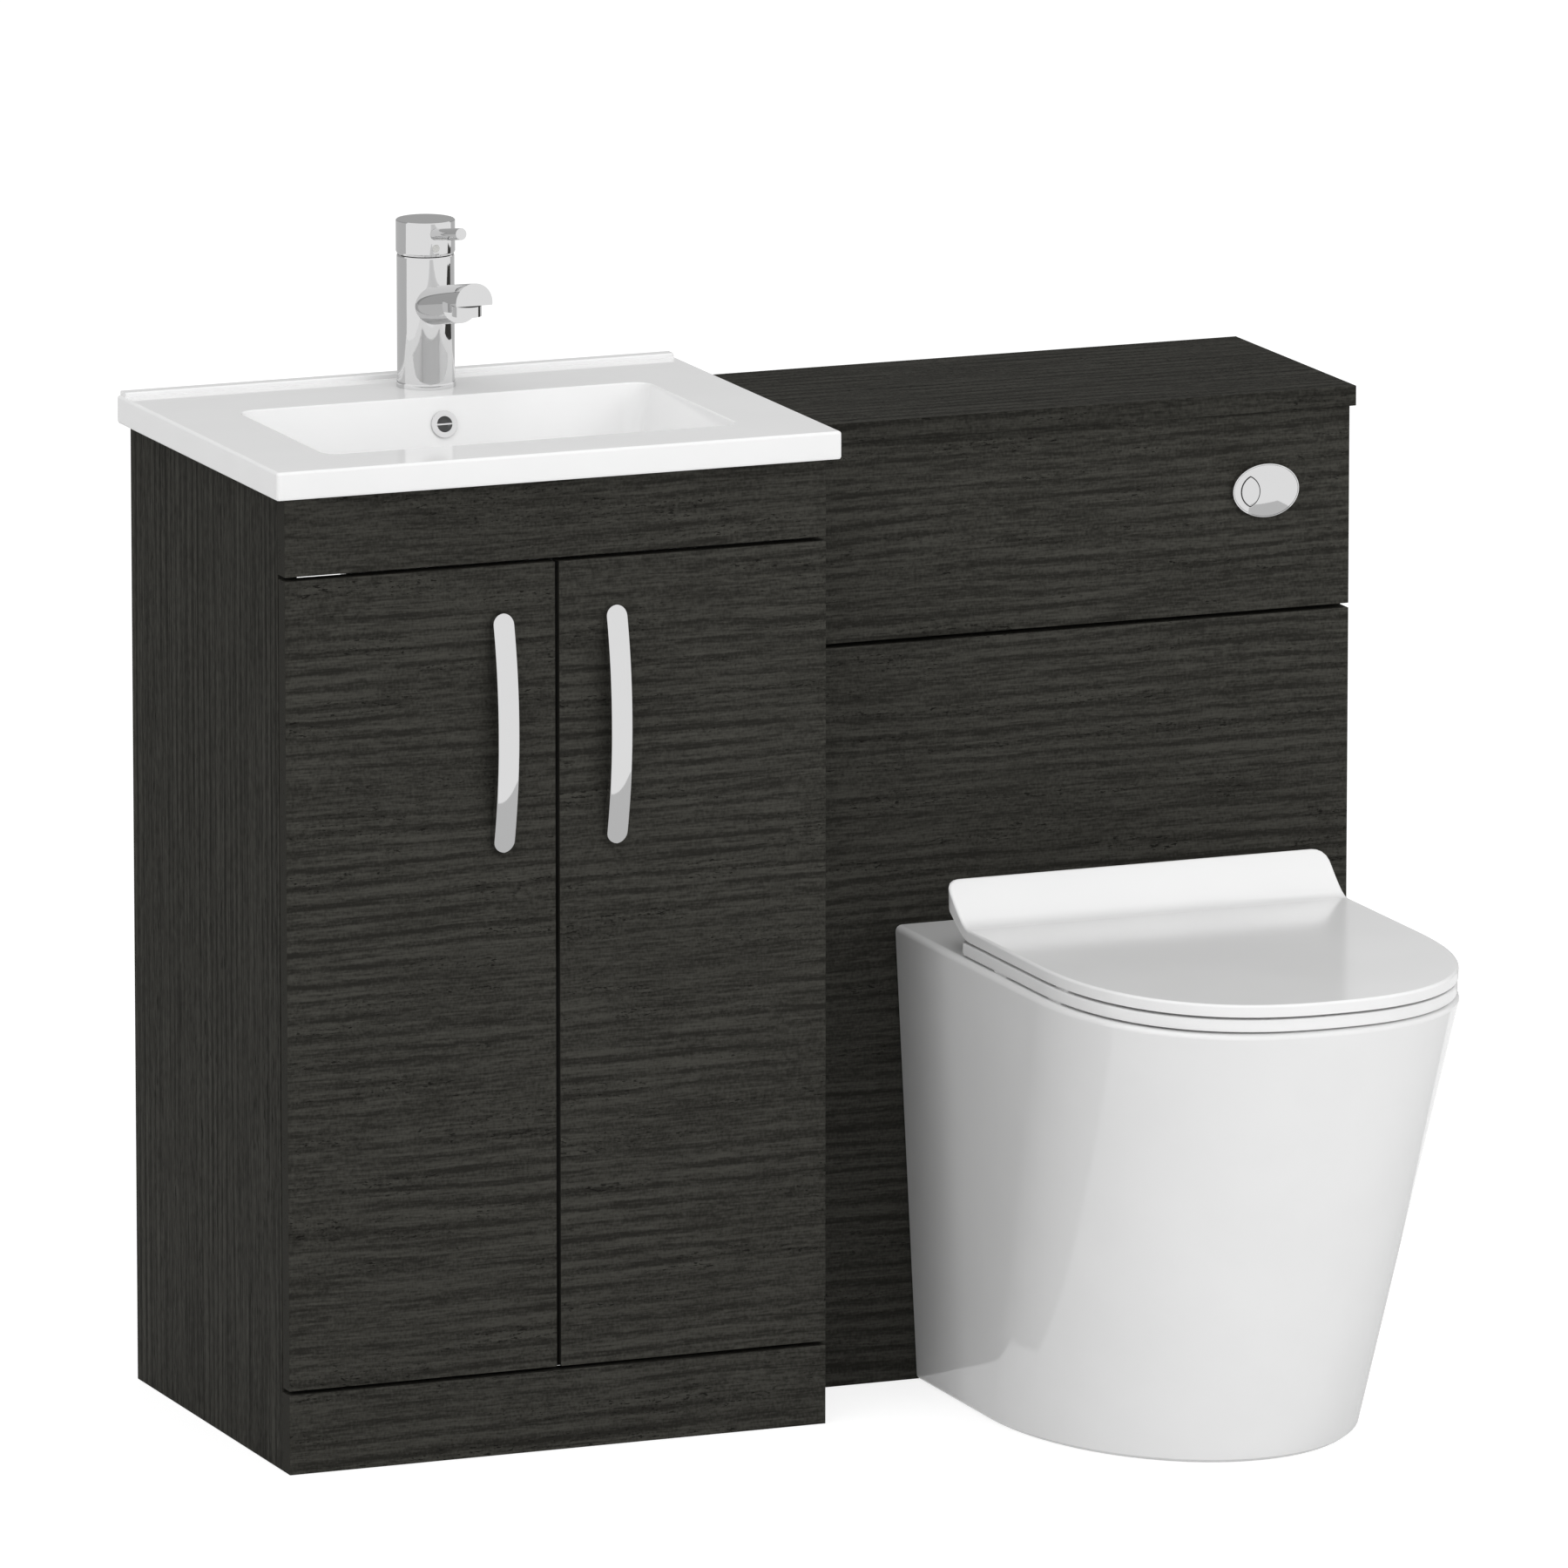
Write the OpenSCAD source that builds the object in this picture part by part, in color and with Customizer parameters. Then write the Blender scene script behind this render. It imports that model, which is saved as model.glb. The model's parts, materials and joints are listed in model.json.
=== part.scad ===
// Toilet and basin combination unit: a two-door vanity with a ceramic basin, beside a
// WC unit with a concealed cistern and a back-to-wall pan.
// Millimetres. +X to the right, -Y to the room, +Z up. All parts are drawn from the left
// end of the vanity, the wall and the floor, and place() then moves them so that the
// origin is the middle of the whole footprint.

/* [Vanity cabinet] */
// Width of the vanity cabinet
vanity_w = 500; // [460:1:560]
// Height of the vanity carcass, which is the underside of the basin
vanity_h = 860; // [820:1:900]
// Distance from the wall to the face of the doors
vanity_d = 383; // [350:1:420]
// Thickness of the furniture boards
board = 18; // [15:1:20]
// Thickness of the doors
door_t = 16; // [15:1:17]
// Gap between neighbouring fronts
reveal = 3.7; // [2.5:0.1:5]
// Height of the plinth
plinth_h = 70.5; // [60:0.5:100]
// Height of the fixed front under the basin
fascia_h = 70.4; // [60:0.1:90]
// Height of the shelf
shelf_z = 430; // [330:1:470]

/* [Doors and handles] */
// Length of a bow handle
handle_l = 210; // [160:1:240]
// Width of a bow handle
handle_w = 20; // [14:1:24]
// Height of the middle of a handle
handle_z = 640.4; // [500:0.1:660]
// Distance from the middle of the vanity to a handle
handle_off = 52.3; // [35:0.1:80]
// How far a handle stands out at its middle
handle_rise = 21; // [18:0.5:30]
// How far a handle stands out at its ends
handle_end = 7; // [5:0.5:9]
// Diameter of a hinge cup
cup_d = 35; // [35:1:35]
// Distance from the top or bottom of a door to its hinge
hinge_inset = 92; // [80:1:140]

/* [Basin] */
// Width of the basin
basin_w = 521; // [510:1:560]
// Depth of the basin from the wall
basin_d = 399.3; // [390:0.1:420]
// Thickness of the basin's rim
basin_t = 24.5; // [18:0.5:30]
// Width of the bowl at the rim
bowl_w = 383; // [340:1:400]
// Front-to-back length of the bowl at the rim
bowl_l = 223; // [200:1:235]
// Depth of the bowl
bowl_depth = 108; // [90:1:115]
// Wall thickness of the ceramic
china = 8; // [7:0.5:9]

/* [Tap] */
// Diameter of the tap body
tap_d = 50.6; // [46:0.1:52]
// Height of the tap over the basin's deck
tap_h = 148; // [140:1:152]
// Distance from the tap's axis to the end of the spout
spout_reach = 118; // [110:1:124]
// Diameter of the spout
spout_d = 34; // [30:1:36]
// Slope of the spout
spout_rise = 10.5; // [6:0.5:12]
// Distance from the tap's axis to the end of the lever
lever_reach = 87; // [80:1:95]

/* [WC unit] */
// Width of the WC unit
wc_w = 550; // [530:1:600]
// Height of the WC unit under its worktop
wc_h = 846; // [830:1:855]
// Distance from the wall to the face of the WC panels
wc_d = 260; // [240:1:290]
// Height of the lower panel
lower_h = 664; // [640:1:670]
// Gap between the upper and the lower panel
panel_gap = 4; // [3:0.5:5]
// Width of the flush button
button_w = 63.2; // [56:0.1:70]
// Height of the flush button
button_h = 47.8; // [44:0.1:56]

/* [Pan and seat] */
// Distance from the vanity's left end to the middle of the pan
pan_x = 800; // [780:0.5:805]
// Height of the pan's rim
pan_h = 412; // [400:1:420]
// Distance from the wall to the front of the seat
pan_front = 802; // [780:1:830]
// Width of the pan's rim
pan_w = 369; // [350:1:375]
// Width of the pan at the floor
foot_w = 326; // [300:1:340]
// Distance from the wall to the front of the pan at the floor
foot_front = 651; // [640:1:700]
// Thickness of the seat and of the lid
seat_t = 11.4; // [10:0.2:13]
// Gap under the seat and under the lid
seat_gap = 1.8; // [1.5:0.1:2.5]
// Height of the lid's raised back edge over the flat of the lid
lid_rise = 35.5; // [28:0.5:38]

/* [Hidden] */
$fn = 96;
eps = 0.01;

// Vanity, from the derived heights and depths
carcass_d = vanity_d - board;
door_w = vanity_w / 2 - reveal / 2;
door_z0 = plinth_h + reveal;
door_z1 = vanity_h - fascia_h - reveal;
door_h = door_z1 - door_z0;
door_back = vanity_d - door_t;
hinge_z = [door_z0 + hinge_inset, door_z1 - hinge_inset];

// Concealed hinge, measured from the door's outer edge and the carcass front
cup_in = 22.5;
cup_deep = 12;
cup_wall = 1;
arm_pivot = [35, -2];
cup_pivot = [13, -3];
link_w = 8;
pin_r = 1.5;
run = 0.05;

// Basin
basin_x0 = -12.5;
basin_cx = basin_x0 + basin_w / 2;
bowl_back = 113;
bowl_cy = -bowl_back - bowl_l / 2;
basin_top = vanity_h + basin_t;
floor_z = basin_top - bowl_depth;
upstand = [15, 4];
overflow_z = basin_top - 24;
waste_r = 22.5;
bowl_corner = 16;

// Tap
tap_x = 254.2;
tap_y = -59;
tap_r = tap_d / 2;
tap_top = basin_top + tap_h;
cap_h = 30;
cap_r = tap_r + 0.7;
cap_z = tap_top - cap_h;
tilt_z = cap_z + 11.5;
cap_edge = [1.2, 2.2];
sweep_r = norm([cap_r, tilt_z - cap_z - cap_edge[1]]) + 0.2;
lever_z = tap_top - 10;
lever_rise = 9.5;
spout_z = basin_top + 70.8;

// WC unit
wc_x0 = vanity_w;
wc_x1 = wc_x0 + wc_w;
upper_z = lower_h + panel_gap;
top_x0 = basin_x0 + basin_w + 1.5;
top_x1 = wc_x1 + 4;
wc_carcass = wc_d - board;
button_x = 967.2;
button_z = 776.4;
button_deep = 6.5;
button_rim = 1;
button_gap = 0.3;
half_w = 18;
half_h = 28;
half_x = -15.7;

// Cistern
tank_w = 360;
tank_y = [-24, -146];
tank_z = [470, 790];
tank_wall = 4;
valve_y = -85;
flush_z = 330;
soil_z = 180;

// Pan and seat
pan_back = wc_d + 1;
rim_round = 6;
pan_wall = 13;
rim_t = 24;
straight_y = -565;
foot_straight = -420;
rim_square = 2.4;
seat_w = pan_w - 6.6;
seat_back = 395;
lid_back = 365;
seat_z = pan_h + seat_gap;
lid_z = seat_z + seat_t + seat_gap;
lid_top = lid_z + seat_t;
hinge_y = -345;
hinge_h = pan_h + 22;
post_off = 77.5;
lid_sweep = 55;

// The whole footprint
origin_x = (basin_x0 + top_x1) / 2;
origin_y = -pan_front / 2;

// ---------------------------------------------------------------- shared shapes

module place() { translate([-origin_x, -origin_y, 0]) children(); }

// A board from its lower left back corner, with its size to the right, front and up
module plank(x, y, z, w, d, h) { translate([x, -y - d, z]) cube([w, d, h]); }

// A rod from a point along X, Y or Z
module rod_x(p, r, l) { translate(p) rotate([0, 90, 0]) cylinder(r = r, h = l); }
module rod_y(p, r, l) { translate(p) rotate([90, 0, 0]) cylinder(r = r, h = l); }
module rod_z(p, r, l) { translate(p) cylinder(r = r, h = l); }

// A rectangle with round corners
module round_rect(w, l, r) {
    hull() for (x = [-1, 1], y = [-1, 1])
        translate([x * (w / 2 - r), y * (l / 2 - r)]) circle(r = r, $fn = 32);
}

// Half of a D outline, from its back edge to the middle of its round front:
// half width a, back edge at yb, ellipse of depth b in front of yc, back corners of rc
function half_d(a, yb, yc, b, rc = 1, sides = 8, arcs = 26, n = 2) = concat(
    [for (i = [0:4]) let (t = 90 - i * 22.5) [a - rc + rc * cos(t), yb - rc + rc * sin(t)]],
    [for (i = [1:sides]) [a, yb - rc + (yc - yb + rc) * i / (sides + 1)]],
    [for (i = [0:arcs - 1]) let (t = 90 * (i + 0.5) / arcs)
        [a * pow(cos(t), 2 / n), yc - b * pow(sin(t), 2 / n)]]);

// Half of an ellipse, from its back to its front
function half_e(a, b, yc, arcs = 20) =
    [for (i = [0:arcs - 1]) let (t = 90 - 180 * (i + 0.5) / arcs) [a * cos(t), yc + b * sin(t)]];

// Half of a rectangle with round corners, in front of and behind the line y = yc
function half_box(w, l, r, yc, arcs = 6) = concat(
    [for (i = [0:arcs]) let (t = 90 - 90 * i / arcs)
        [w / 2 - r + r * cos(t), yc + l / 2 - r + r * sin(t)]],
    [for (i = [0:arcs]) let (t = -90 * i / arcs)
        [w / 2 - r + r * cos(t), yc - l / 2 + r + r * sin(t)]]);

// A closed loop of points from a half outline, with its height as a function of y
function loop(half, z) = concat(
    [for (p = half) [p[0], p[1], z]],
    [for (i = [len(half) - 1:-1:0]) [-half[i][0], half[i][1], z]]);

function raise(ring, lift) = [for (i = [0:len(ring) - 1]) ring[i] + [0, 0, lift[i]]];

// A solid through loops of equal length, from the lowest to the highest
module loft(rings) {
    n = len(rings[0]);
    last = len(rings) - 1;
    polyhedron(
        points = [for (ring = rings) for (p = ring) p],
        faces = concat(
            [for (k = [0:last - 1]) for (i = [0:n - 1]) let (j = (i + 1) % n)
                [k * n + i, k * n + j, (k + 1) * n + i]],
            [for (k = [0:last - 1]) for (i = [0:n - 1]) let (j = (i + 1) % n)
                [k * n + j, (k + 1) * n + j, (k + 1) * n + i]],
            [for (i = [0:n / 2 - 2]) [i, n - 1 - i, n - 2 - i, i + 1]],
            [for (i = [0:n / 2 - 2]) let (o = last * n)
                [o + i, o + i + 1, o + n - 2 - i, o + n - 1 - i]]));
}

// ---------------------------------------------------------------- vanity carcass

module vanity_side() {
    difference() {
        plank(0, 0, 0, board, carcass_d, vanity_h);
        for (y = pin_y) rod_x([board - 10, y, shelf_z - 2.5], 2.5, 11);
    }
}

pin_y = [-60, -carcass_d + 60];

module vanity_side_left() { color("#2f2f2c") place() vanity_side(); }

module vanity_side_right() {
    color("#2f2f2c") place() translate([vanity_w, 0, 0]) mirror([1, 0, 0]) vanity_side();
}

module vanity_base() {
    color("#2f2f2c") place()
        plank(board, 0, plinth_h, vanity_w - 2 * board, carcass_d, board);
}

module vanity_shelf() {
    color("#2f2f2c") place()
        plank(board + 1, 22, shelf_z, vanity_w - 2 * board - 2, carcass_d - 44, board);
}

module shelf_pins() {
    color("silver") place() for (side = [0, 1], y = pin_y)
        translate([side * vanity_w, 0, 0]) mirror([side, 0, 0])
            rod_x([board - 9.5, y, shelf_z - 2.5], 2.45, 20);
}

module vanity_front_rail() {
    color("#2f2f2c") place()
        plank(board, carcass_d - board, vanity_h - 60, vanity_w - 2 * board, board, 60);
}

// Upright rail under the basin, screwed to the wall
rail_h = 100;
rail_hole = [60, vanity_h - rail_h + 34, 3];

module vanity_back_rail() {
    color("#2f2f2c") place() difference() {
        plank(board, 0, vanity_h - rail_h, vanity_w - 2 * board, board, rail_h);
        for (x = [rail_hole[0], vanity_w - rail_hole[0]])
            rod_y([x, 1, rail_hole[1]], rail_hole[2], board + 2);
    }
}

module vanity_fascia() {
    color("#343431") place()
        plank(0, carcass_d, vanity_h - fascia_h, vanity_w, board, fascia_h);
}

module vanity_plinth() {
    color("#343431") place() plank(0, carcass_d, 0, vanity_w, board, plinth_h);
}

// ---------------------------------------------------------------- doors and handles

handle_foot = handle_l / 2 - 14;

// The left door, closed, with its cup and handle holes
module door() {
    difference() {
        plank(0, door_back, door_z0, door_w, door_t, door_h);
        for (z = hinge_z)
            rod_y([cup_in, -door_back + 1, z], cup_d / 2, cup_deep + 1.2);
        for (s = [-1, 1])
            rod_y([vanity_w / 2 - handle_off, -door_back + 1, handle_z + s * handle_foot],
                  2.25, door_t + 2);
    }
}

// Copies a left-hand piece to the right-hand side of the vanity
module right_hand() { translate([vanity_w, 0, 0]) mirror([1, 0, 0]) children(); }

module left_door() { color("#343431") place() door(); }
module right_door() { color("#343431") place() right_hand() door(); }

// A bow: its outer face is an arc from the end height to the rise, its inner face an
// arc that leaves a finger gap between two feet, and its ends are round
module handle() {
    half = handle_l / 2;
    sag = handle_rise - handle_end;
    outer_r = (half * half + sag * sag) / (2 * sag);
    gap_half = half - 24;
    gap_rise = handle_rise - 5;
    inner_r = (gap_half * gap_half + gap_rise * gap_rise) / (2 * gap_rise);
    translate([vanity_w / 2 - handle_off, -vanity_d, handle_z]) difference() {
        intersection() {
            rotate([90, 0, 0]) linear_extrude(handle_rise + 1) {
                translate([-handle_w / 2, -half + handle_w / 2])
                    square([handle_w, handle_l - handle_w]);
                for (s = [-1, 1]) translate([0, s * (half - handle_w / 2)])
                    circle(d = handle_w);
            }
            rod_x([-handle_w, outer_r - handle_rise, 0], outer_r, 2 * handle_w, $fn = 360);
        }
        rod_x([-handle_w, inner_r - gap_rise, 0], inner_r, 2 * handle_w, $fn = 360);
        for (s = [-1, 1]) rod_y([0, 1, s * handle_foot], 1.95, 5.5);
    }
}

module left_handle() { color("silver") place() handle(); }
module right_handle() { color("silver") place() right_hand() handle(); }

module handle_screws() {
    for (s = [-1, 1])
        translate([vanity_w / 2 - handle_off, -door_back, handle_z + s * handle_foot])
            difference() {
                union() {
                    rod_y([0, 2.2, 0], 3.8, 2.2);
                    rod_y([0, 0, 0], 1.9, door_t + 4);
                }
                translate([-2.5, 1.2, -0.5]) cube([5, 2, 1]);
            }
}

module left_handle_screws() { color("silver") place() handle_screws(); }
module right_handle_screws() { color("silver") place() right_hand() handle_screws(); }

// ---------------------------------------------------------------- concealed hinges
// Each link turns on the arm's pin inside the cabinet and carries the cup's pin, so
// that the door swings out round the edge of the side panel

// Fixed to the side panel: a plate, and an arm whose two ears hold the link's pin
module hinge_arm() {
    ear = 2;
    translate([0, -carcass_d, 0]) {
        for (z = hinge_z) translate([0, 0, z]) {
            difference() {
                translate([board, 22, -25]) cube([2, 34, 50]);
                for (s = [-1, 1]) rod_x([board - 1, 37, s * 16], 2.2, 4);
            }
            for (s = [-1, 1]) rod_x([board, 37, s * 16], 2.2, 3.4);
            translate([board + 2, 14, -link_w / 2 - 0.3 - ear])
                cube([14, 42, link_w + 0.6 + 2 * ear]);
            for (s = [-1, 1])
                translate([0, 0, s * (link_w / 2 + 0.3 + ear / 2) - ear / 2])
                    linear_extrude(ear) {
                        translate(arm_pivot) circle(r = 2.4);
                        polygon([[32.6, -1.2], [37.4, -1.2], [36, 16], [28, 16]]);
                    }
            rod_z([arm_pivot[0], arm_pivot[1], -link_w / 2 - 0.3 - ear], pin_r,
                  link_w + 0.6 + 2 * ear);
        }
    }
}

module left_hinge_arms() { color("silver") place() hinge_arm(); }
module right_hinge_arms() { color("silver") place() right_hand() hinge_arm(); }

module hinge_link() {
    span = cup_pivot - arm_pivot;
    translate([0, -carcass_d, 0]) for (z = hinge_z)
        translate([0, 0, z - link_w / 2]) linear_extrude(link_w) difference() {
            union() {
                translate(arm_pivot) circle(r = 2.5);
                translate(cup_pivot) circle(r = 2.5);
                translate(arm_pivot) rotate(atan2(span[1], span[0]))
                    translate([0, -1.5]) square([norm(span), 3]);
            }
            translate(arm_pivot) circle(r = pin_r + run);
            translate(cup_pivot) circle(r = pin_r + run);
        }
}

module left_hinge_links() { color("silver") place() hinge_link(); }
module right_hinge_links() { color("silver") place() right_hand() hinge_link(); }

// Fixed in the door: a pot with two wings and the pin that the link carries
module hinge_cup() {
    r = cup_d / 2 - 0.1;
    pin_half = sqrt(r * r - pow(cup_in - cup_pivot[0] + pin_r, 2)) - 0.2;
    for (z = hinge_z) translate([0, -door_back, z]) {
        difference() {
            union() {
                rod_y([cup_in, 0, 0], r, cup_deep);
                for (s = [-1, 1]) {
                    difference() {
                        translate([board + 1.5, 0, s * 20 - 8]) cube([14, 1, 16]);
                        rod_y([cup_in + 4, 2, s * 24], 1.6, 4);
                    }
                    intersection() {
                        translate([board + 1.5, -1, s * 20 - 8]) cube([14, 2, 16]);
                        rod_y([cup_in, 2, 0], r, 4);
                    }
                }
            }
            rod_y([cup_in, 2, 0], r - cup_wall, cup_deep + 1);
        }
        rod_z([cup_pivot[0], cup_pivot[1] - carcass_d + door_back, -pin_half], pin_r,
              2 * pin_half);
    }
}

module left_hinge_cups() { color("silver") place() hinge_cup(); }
module right_hinge_cups() { color("silver") place() right_hand() hinge_cup(); }

// ---------------------------------------------------------------- basin

// The bowl's outline at a height; t is 0 at the floor and 1 at the rim
function bowl_ring(t, grow, z) =
    let (w = bowl_w - (1 - t) * 62, l = bowl_l - (1 - t) * 46)
    loop(half_box(w + 2 * grow, l + 2 * grow, bowl_corner + grow, bowl_cy), z);

module bowl_form(grow, low, top) {
    translate([basin_cx, 0, 0]) loft([
        bowl_ring(0, grow - 14, floor_z - low),
        bowl_ring(0.01, grow - 6, floor_z - low + 2),
        bowl_ring(0.04, grow - 1.5, floor_z - low + 7),
        bowl_ring(0.12, grow, floor_z - low + 14),
        bowl_ring(1, grow, top)]);
}

// The duct behind the bowl that the overflow runs down
module overflow_duct(grow) {
    hull() {
        translate([basin_cx - 12 - grow, -bowl_back + 4 - grow, overflow_z - 12])
            cube([24 + 2 * grow, 12 + 2 * grow, 20 + grow]);
        translate([basin_cx - 12 - grow, -bowl_back - 15 - grow, floor_z - grow])
            cube([24 + 2 * grow, 12 + 2 * grow, 2]);
    }
}

module basin_rim() {
    soft = 3;
    hull() for (x = [soft, basin_w - soft], y = [0, 1]) {
        translate([basin_x0 + x, y ? -soft : -basin_d + soft, vanity_h + 1])
            cylinder(r1 = soft - 1, r2 = soft, h = 1, $fn = 32);
        translate([basin_x0 + x, y ? -soft : -basin_d + soft, basin_top - soft])
            sphere(r = soft, $fn = 32);
        translate([basin_x0 + x, y ? -soft : -basin_d + soft, vanity_h])
            cylinder(r = soft - 1, h = 1, $fn = 32);
    }
}

module basin() {
    skirt = 10;
    color("white") place() difference() {
        union() {
            difference() {
                basin_rim();
                translate([basin_x0 + skirt, -basin_d + skirt, vanity_h - 1])
                    cube([basin_w - 2 * skirt, basin_d - 2 * skirt, basin_t - china]);
            }
            translate([basin_x0 + 3, -upstand[0], basin_top - 3])
                cube([basin_w - 6, upstand[0] - 1.5, upstand[1] + 1.5]);
            translate([basin_x0 + 3, -upstand[0] + 1.5, basin_top + upstand[1] - 1.5])
                rotate([0, 90, 0]) cylinder(r = 1.5, h = basin_w - 6);
            translate([basin_x0 + 3, -3, basin_top + upstand[1] - 1.5])
                rotate([0, 90, 0]) cylinder(r = 1.5, h = basin_w - 6);
            translate([basin_x0 + 3, -upstand[0] + 1.5, basin_top + upstand[1] - 2])
                cube([basin_w - 6, upstand[0] - 4.5, 2]);
            bowl_form(china, china, basin_top - 5);
            overflow_duct(5);
            rod_z([basin_cx, bowl_cy, floor_z - china - 4], 34, 8);
        }
        bowl_form(0, 0, basin_top + 1);
        overflow_duct(0);
        rod_z([basin_cx, bowl_cy, floor_z - china - 10], waste_r, 40);
        overflow_frame() translate([0, 0, -14]) cylinder(r = 8.5, h = 15);
        rod_z([tap_x, tap_y, vanity_h], 17.5, basin_t + 5);
    }
}

// On the bowl's back wall, looking into the bowl
module overflow_frame() {
    translate([basin_cx, -bowl_back - 5.6, overflow_z])
        rotate([90 - atan(23 / bowl_depth), 0, 0]) children();
}

module overflow_ring() {
    color("silver") place() overflow_frame() {
        difference() {
            union() {
                cylinder(r = 12, h = 2);
                translate([0, 0, -8]) cylinder(r = 8.2, h = 9);
            }
            translate([0, 0, -9]) cylinder(r = 7, h = 12);
        }
        translate([-7.5, -0.75, -1]) cube([15, 1.5, 2.2]);
    }
}

// ---------------------------------------------------------------- waste and trap

waste_low = floor_z - 68;

module waste_body() {
    color("silver") place() translate([basin_cx, bowl_cy, 0]) difference() {
        union() {
            rod_z([0, 0, floor_z], 31, 3);
            rod_z([0, 0, waste_low], 20.9, floor_z - waste_low + 1);
        }
        rod_z([0, 0, waste_low - 1], 18, 90);
        for (a = [0, 90]) rotate(a) translate([-25, -6, floor_z - 24]) cube([50, 12, 12]);
    }
    color("silver") place() translate([basin_cx, bowl_cy, floor_z - 44]) {
        difference() {
            cylinder(r = 6, h = 14);
            translate([0, 0, 2]) cylinder(r = 3.05, h = 14);
        }
        for (a = [45, 135]) rotate(a) translate([-19, -1, 0]) cube([38, 2, 2]);
    }
}

// The dome is pressed to open or close, and its stem slides in the waste body
module waste_plug() {
    color("silver") place() translate([basin_cx, bowl_cy, 0]) {
        difference() {
            translate([0, 0, floor_z + 13 - 60]) sphere(r = 66, $fn = 128);
            translate([-80, -80, floor_z - 130]) cube([160, 160, 140]);
            difference() {
                translate([0, 0, floor_z]) cylinder(r = 80, h = 40);
                translate([0, 0, floor_z]) cylinder(r = 30, h = 40);
            }
        }
        rod_z([0, 0, floor_z + 9.6], 28, 0.6);
        rod_z([0, 0, floor_z - 34], 3, 44);
    }
}

module waste_nut() {
    color("silver") place() translate([basin_cx, bowl_cy, floor_z - china - 4 - 12])
        difference() {
            union() {
                cylinder(r = 30, h = 12, $fn = 6);
                translate([0, 0, 9]) cylinder(r = 32, h = 3);
            }
            translate([0, 0, -1]) cylinder(r = 21, h = 14);
        }
}

trap_z = waste_low - 70;

module trap_body() {
    color("white") place() translate([basin_cx, bowl_cy, 0]) difference() {
        union() {
            rod_z([0, 0, waste_low - 4], 25, 26);
            rod_z([0, 0, trap_z], 18, waste_low - trap_z);
            rod_z([0, 0, trap_z - 30], 31, 60);
            rotate([0, 0, 180]) rod_y([0, 0, trap_z + 10], 18, 46);
        }
        rod_z([0, 0, waste_low], 21, 40);
        rod_z([0, 0, waste_low - 40], 16, 60);
        rod_z([0, 0, trap_z - 40], 28, 62);
        rod_z([0, 0, trap_z + 10], 16, 60);
        rotate([0, 0, 180]) rod_y([0, 0, trap_z + 10], 16, 50);
    }
}

module trap_cup() {
    color("white") place() translate([basin_cx, bowl_cy, trap_z - 62]) difference() {
        union() {
            cylinder(r1 = 24, r2 = 29, h = 20, $fn = 48);
            translate([0, 0, 20]) cylinder(r = 29, h = 12);
            translate([0, 0, 32]) cylinder(r = 27.9, h = 16);
            for (a = [0:30:330]) rotate(a) translate([29, 0, 21]) cylinder(r = 1.6, h = 10);
        }
        translate([0, 0, 3]) cylinder(r = 21, h = 50);
    }
}

module trap_outlet() {
    start = bowl_cy + 40;
    color("white") place() difference() {
        union() {
            rod_y([basin_cx, 0, trap_z + 10], 16, -start);
            rod_y([basin_cx, start + 25, trap_z + 10], 22, 24.5);
        }
        rod_y([basin_cx, 1, trap_z + 10], 14.4, 200);
        rod_y([basin_cx, start + 8, trap_z + 10], 18.1, 20);
    }
}

// ---------------------------------------------------------------- tap

module tap_frame() { place() translate([tap_x, tap_y, 0]) children(); }

module tap_seal() {
    color("silver") tap_frame() difference() {
        union() {
            rod_z([0, 0, basin_top], tap_r + 0.9, 3.6);
            translate([0, 0, basin_top + 3.6])
                cylinder(r1 = tap_r + 0.9, r2 = tap_r + 0.2, h = 1.2);
        }
        rod_z([0, 0, basin_top - 1], 17, 8);
    }
}

// The spout is a sloping cylinder, cut upright at its end and flat over the nozzle
module spout() {
    difference() {
        intersection() {
            translate([0, 0, spout_z]) rotate([90 - spout_rise, 0, 0])
                cylinder(r = spout_d / 2, h = spout_reach * 1.1);
            translate([-30, -spout_reach, 0]) cube([60, spout_reach, 2000]);
        }
        translate([-30, -spout_reach - 1, spout_cut - 60]) cube([60, 34, 60]);
    }
}

spout_cut = basin_top + 90;
aerator_y = -spout_reach + 18.5;

// The body's top is hollowed to the sphere that the cap's lower edge sweeps
function cap_sweep(r) = [r, tilt_z - sqrt(sweep_r * sweep_r - r * r)];

module tap_body() {
    wall = 4;
    color("silver") tap_frame() difference() {
        union() {
            rotate_extrude() polygon(concat(
                [[0, basin_top + 4.8], [tap_r, basin_top + 4.8], [tap_r, cap_z - 2.4]],
                [for (i = [0:5]) cap_sweep(tap_r - 0.4 - i * 0.95)],
                [[0, cap_sweep(tap_r - 5.15)[1]]]));
            spout();
        }
        rod_z([0, 0, cap_z - 46], 17.9, 60);
        rod_z([0, 0, spout_z - 10], 9, 40);
        translate([0, 0, spout_z]) rotate([90 - spout_rise, 0, 0])
            cylinder(r = 8, h = spout_reach - 12);
        rod_z([0, aerator_y, spout_cut - 1], 10, 12);
        for (x = [-8, 8]) rod_z([x, 4, basin_top], 4.6, 24);
        rod_z([0, -12, basin_top], 3.95, 24);
    }
}

module tap_aerator() {
    color("silver") tap_frame() translate([0, aerator_y, spout_cut - 11.5]) difference() {
        union() {
            cylinder(r = 13, h = 11.5);
            translate([0, 0, 11]) cylinder(r = 9.9, h = 6);
        }
        translate([0, 0, -1]) cylinder(r = 10, h = 4);
        for (a = [0:60:300]) rotate(a) translate([6, 0, 1]) cylinder(r = 1.6, h = 20);
        translate([0, 0, 1]) cylinder(r = 1.6, h = 20);
    }
}

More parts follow.
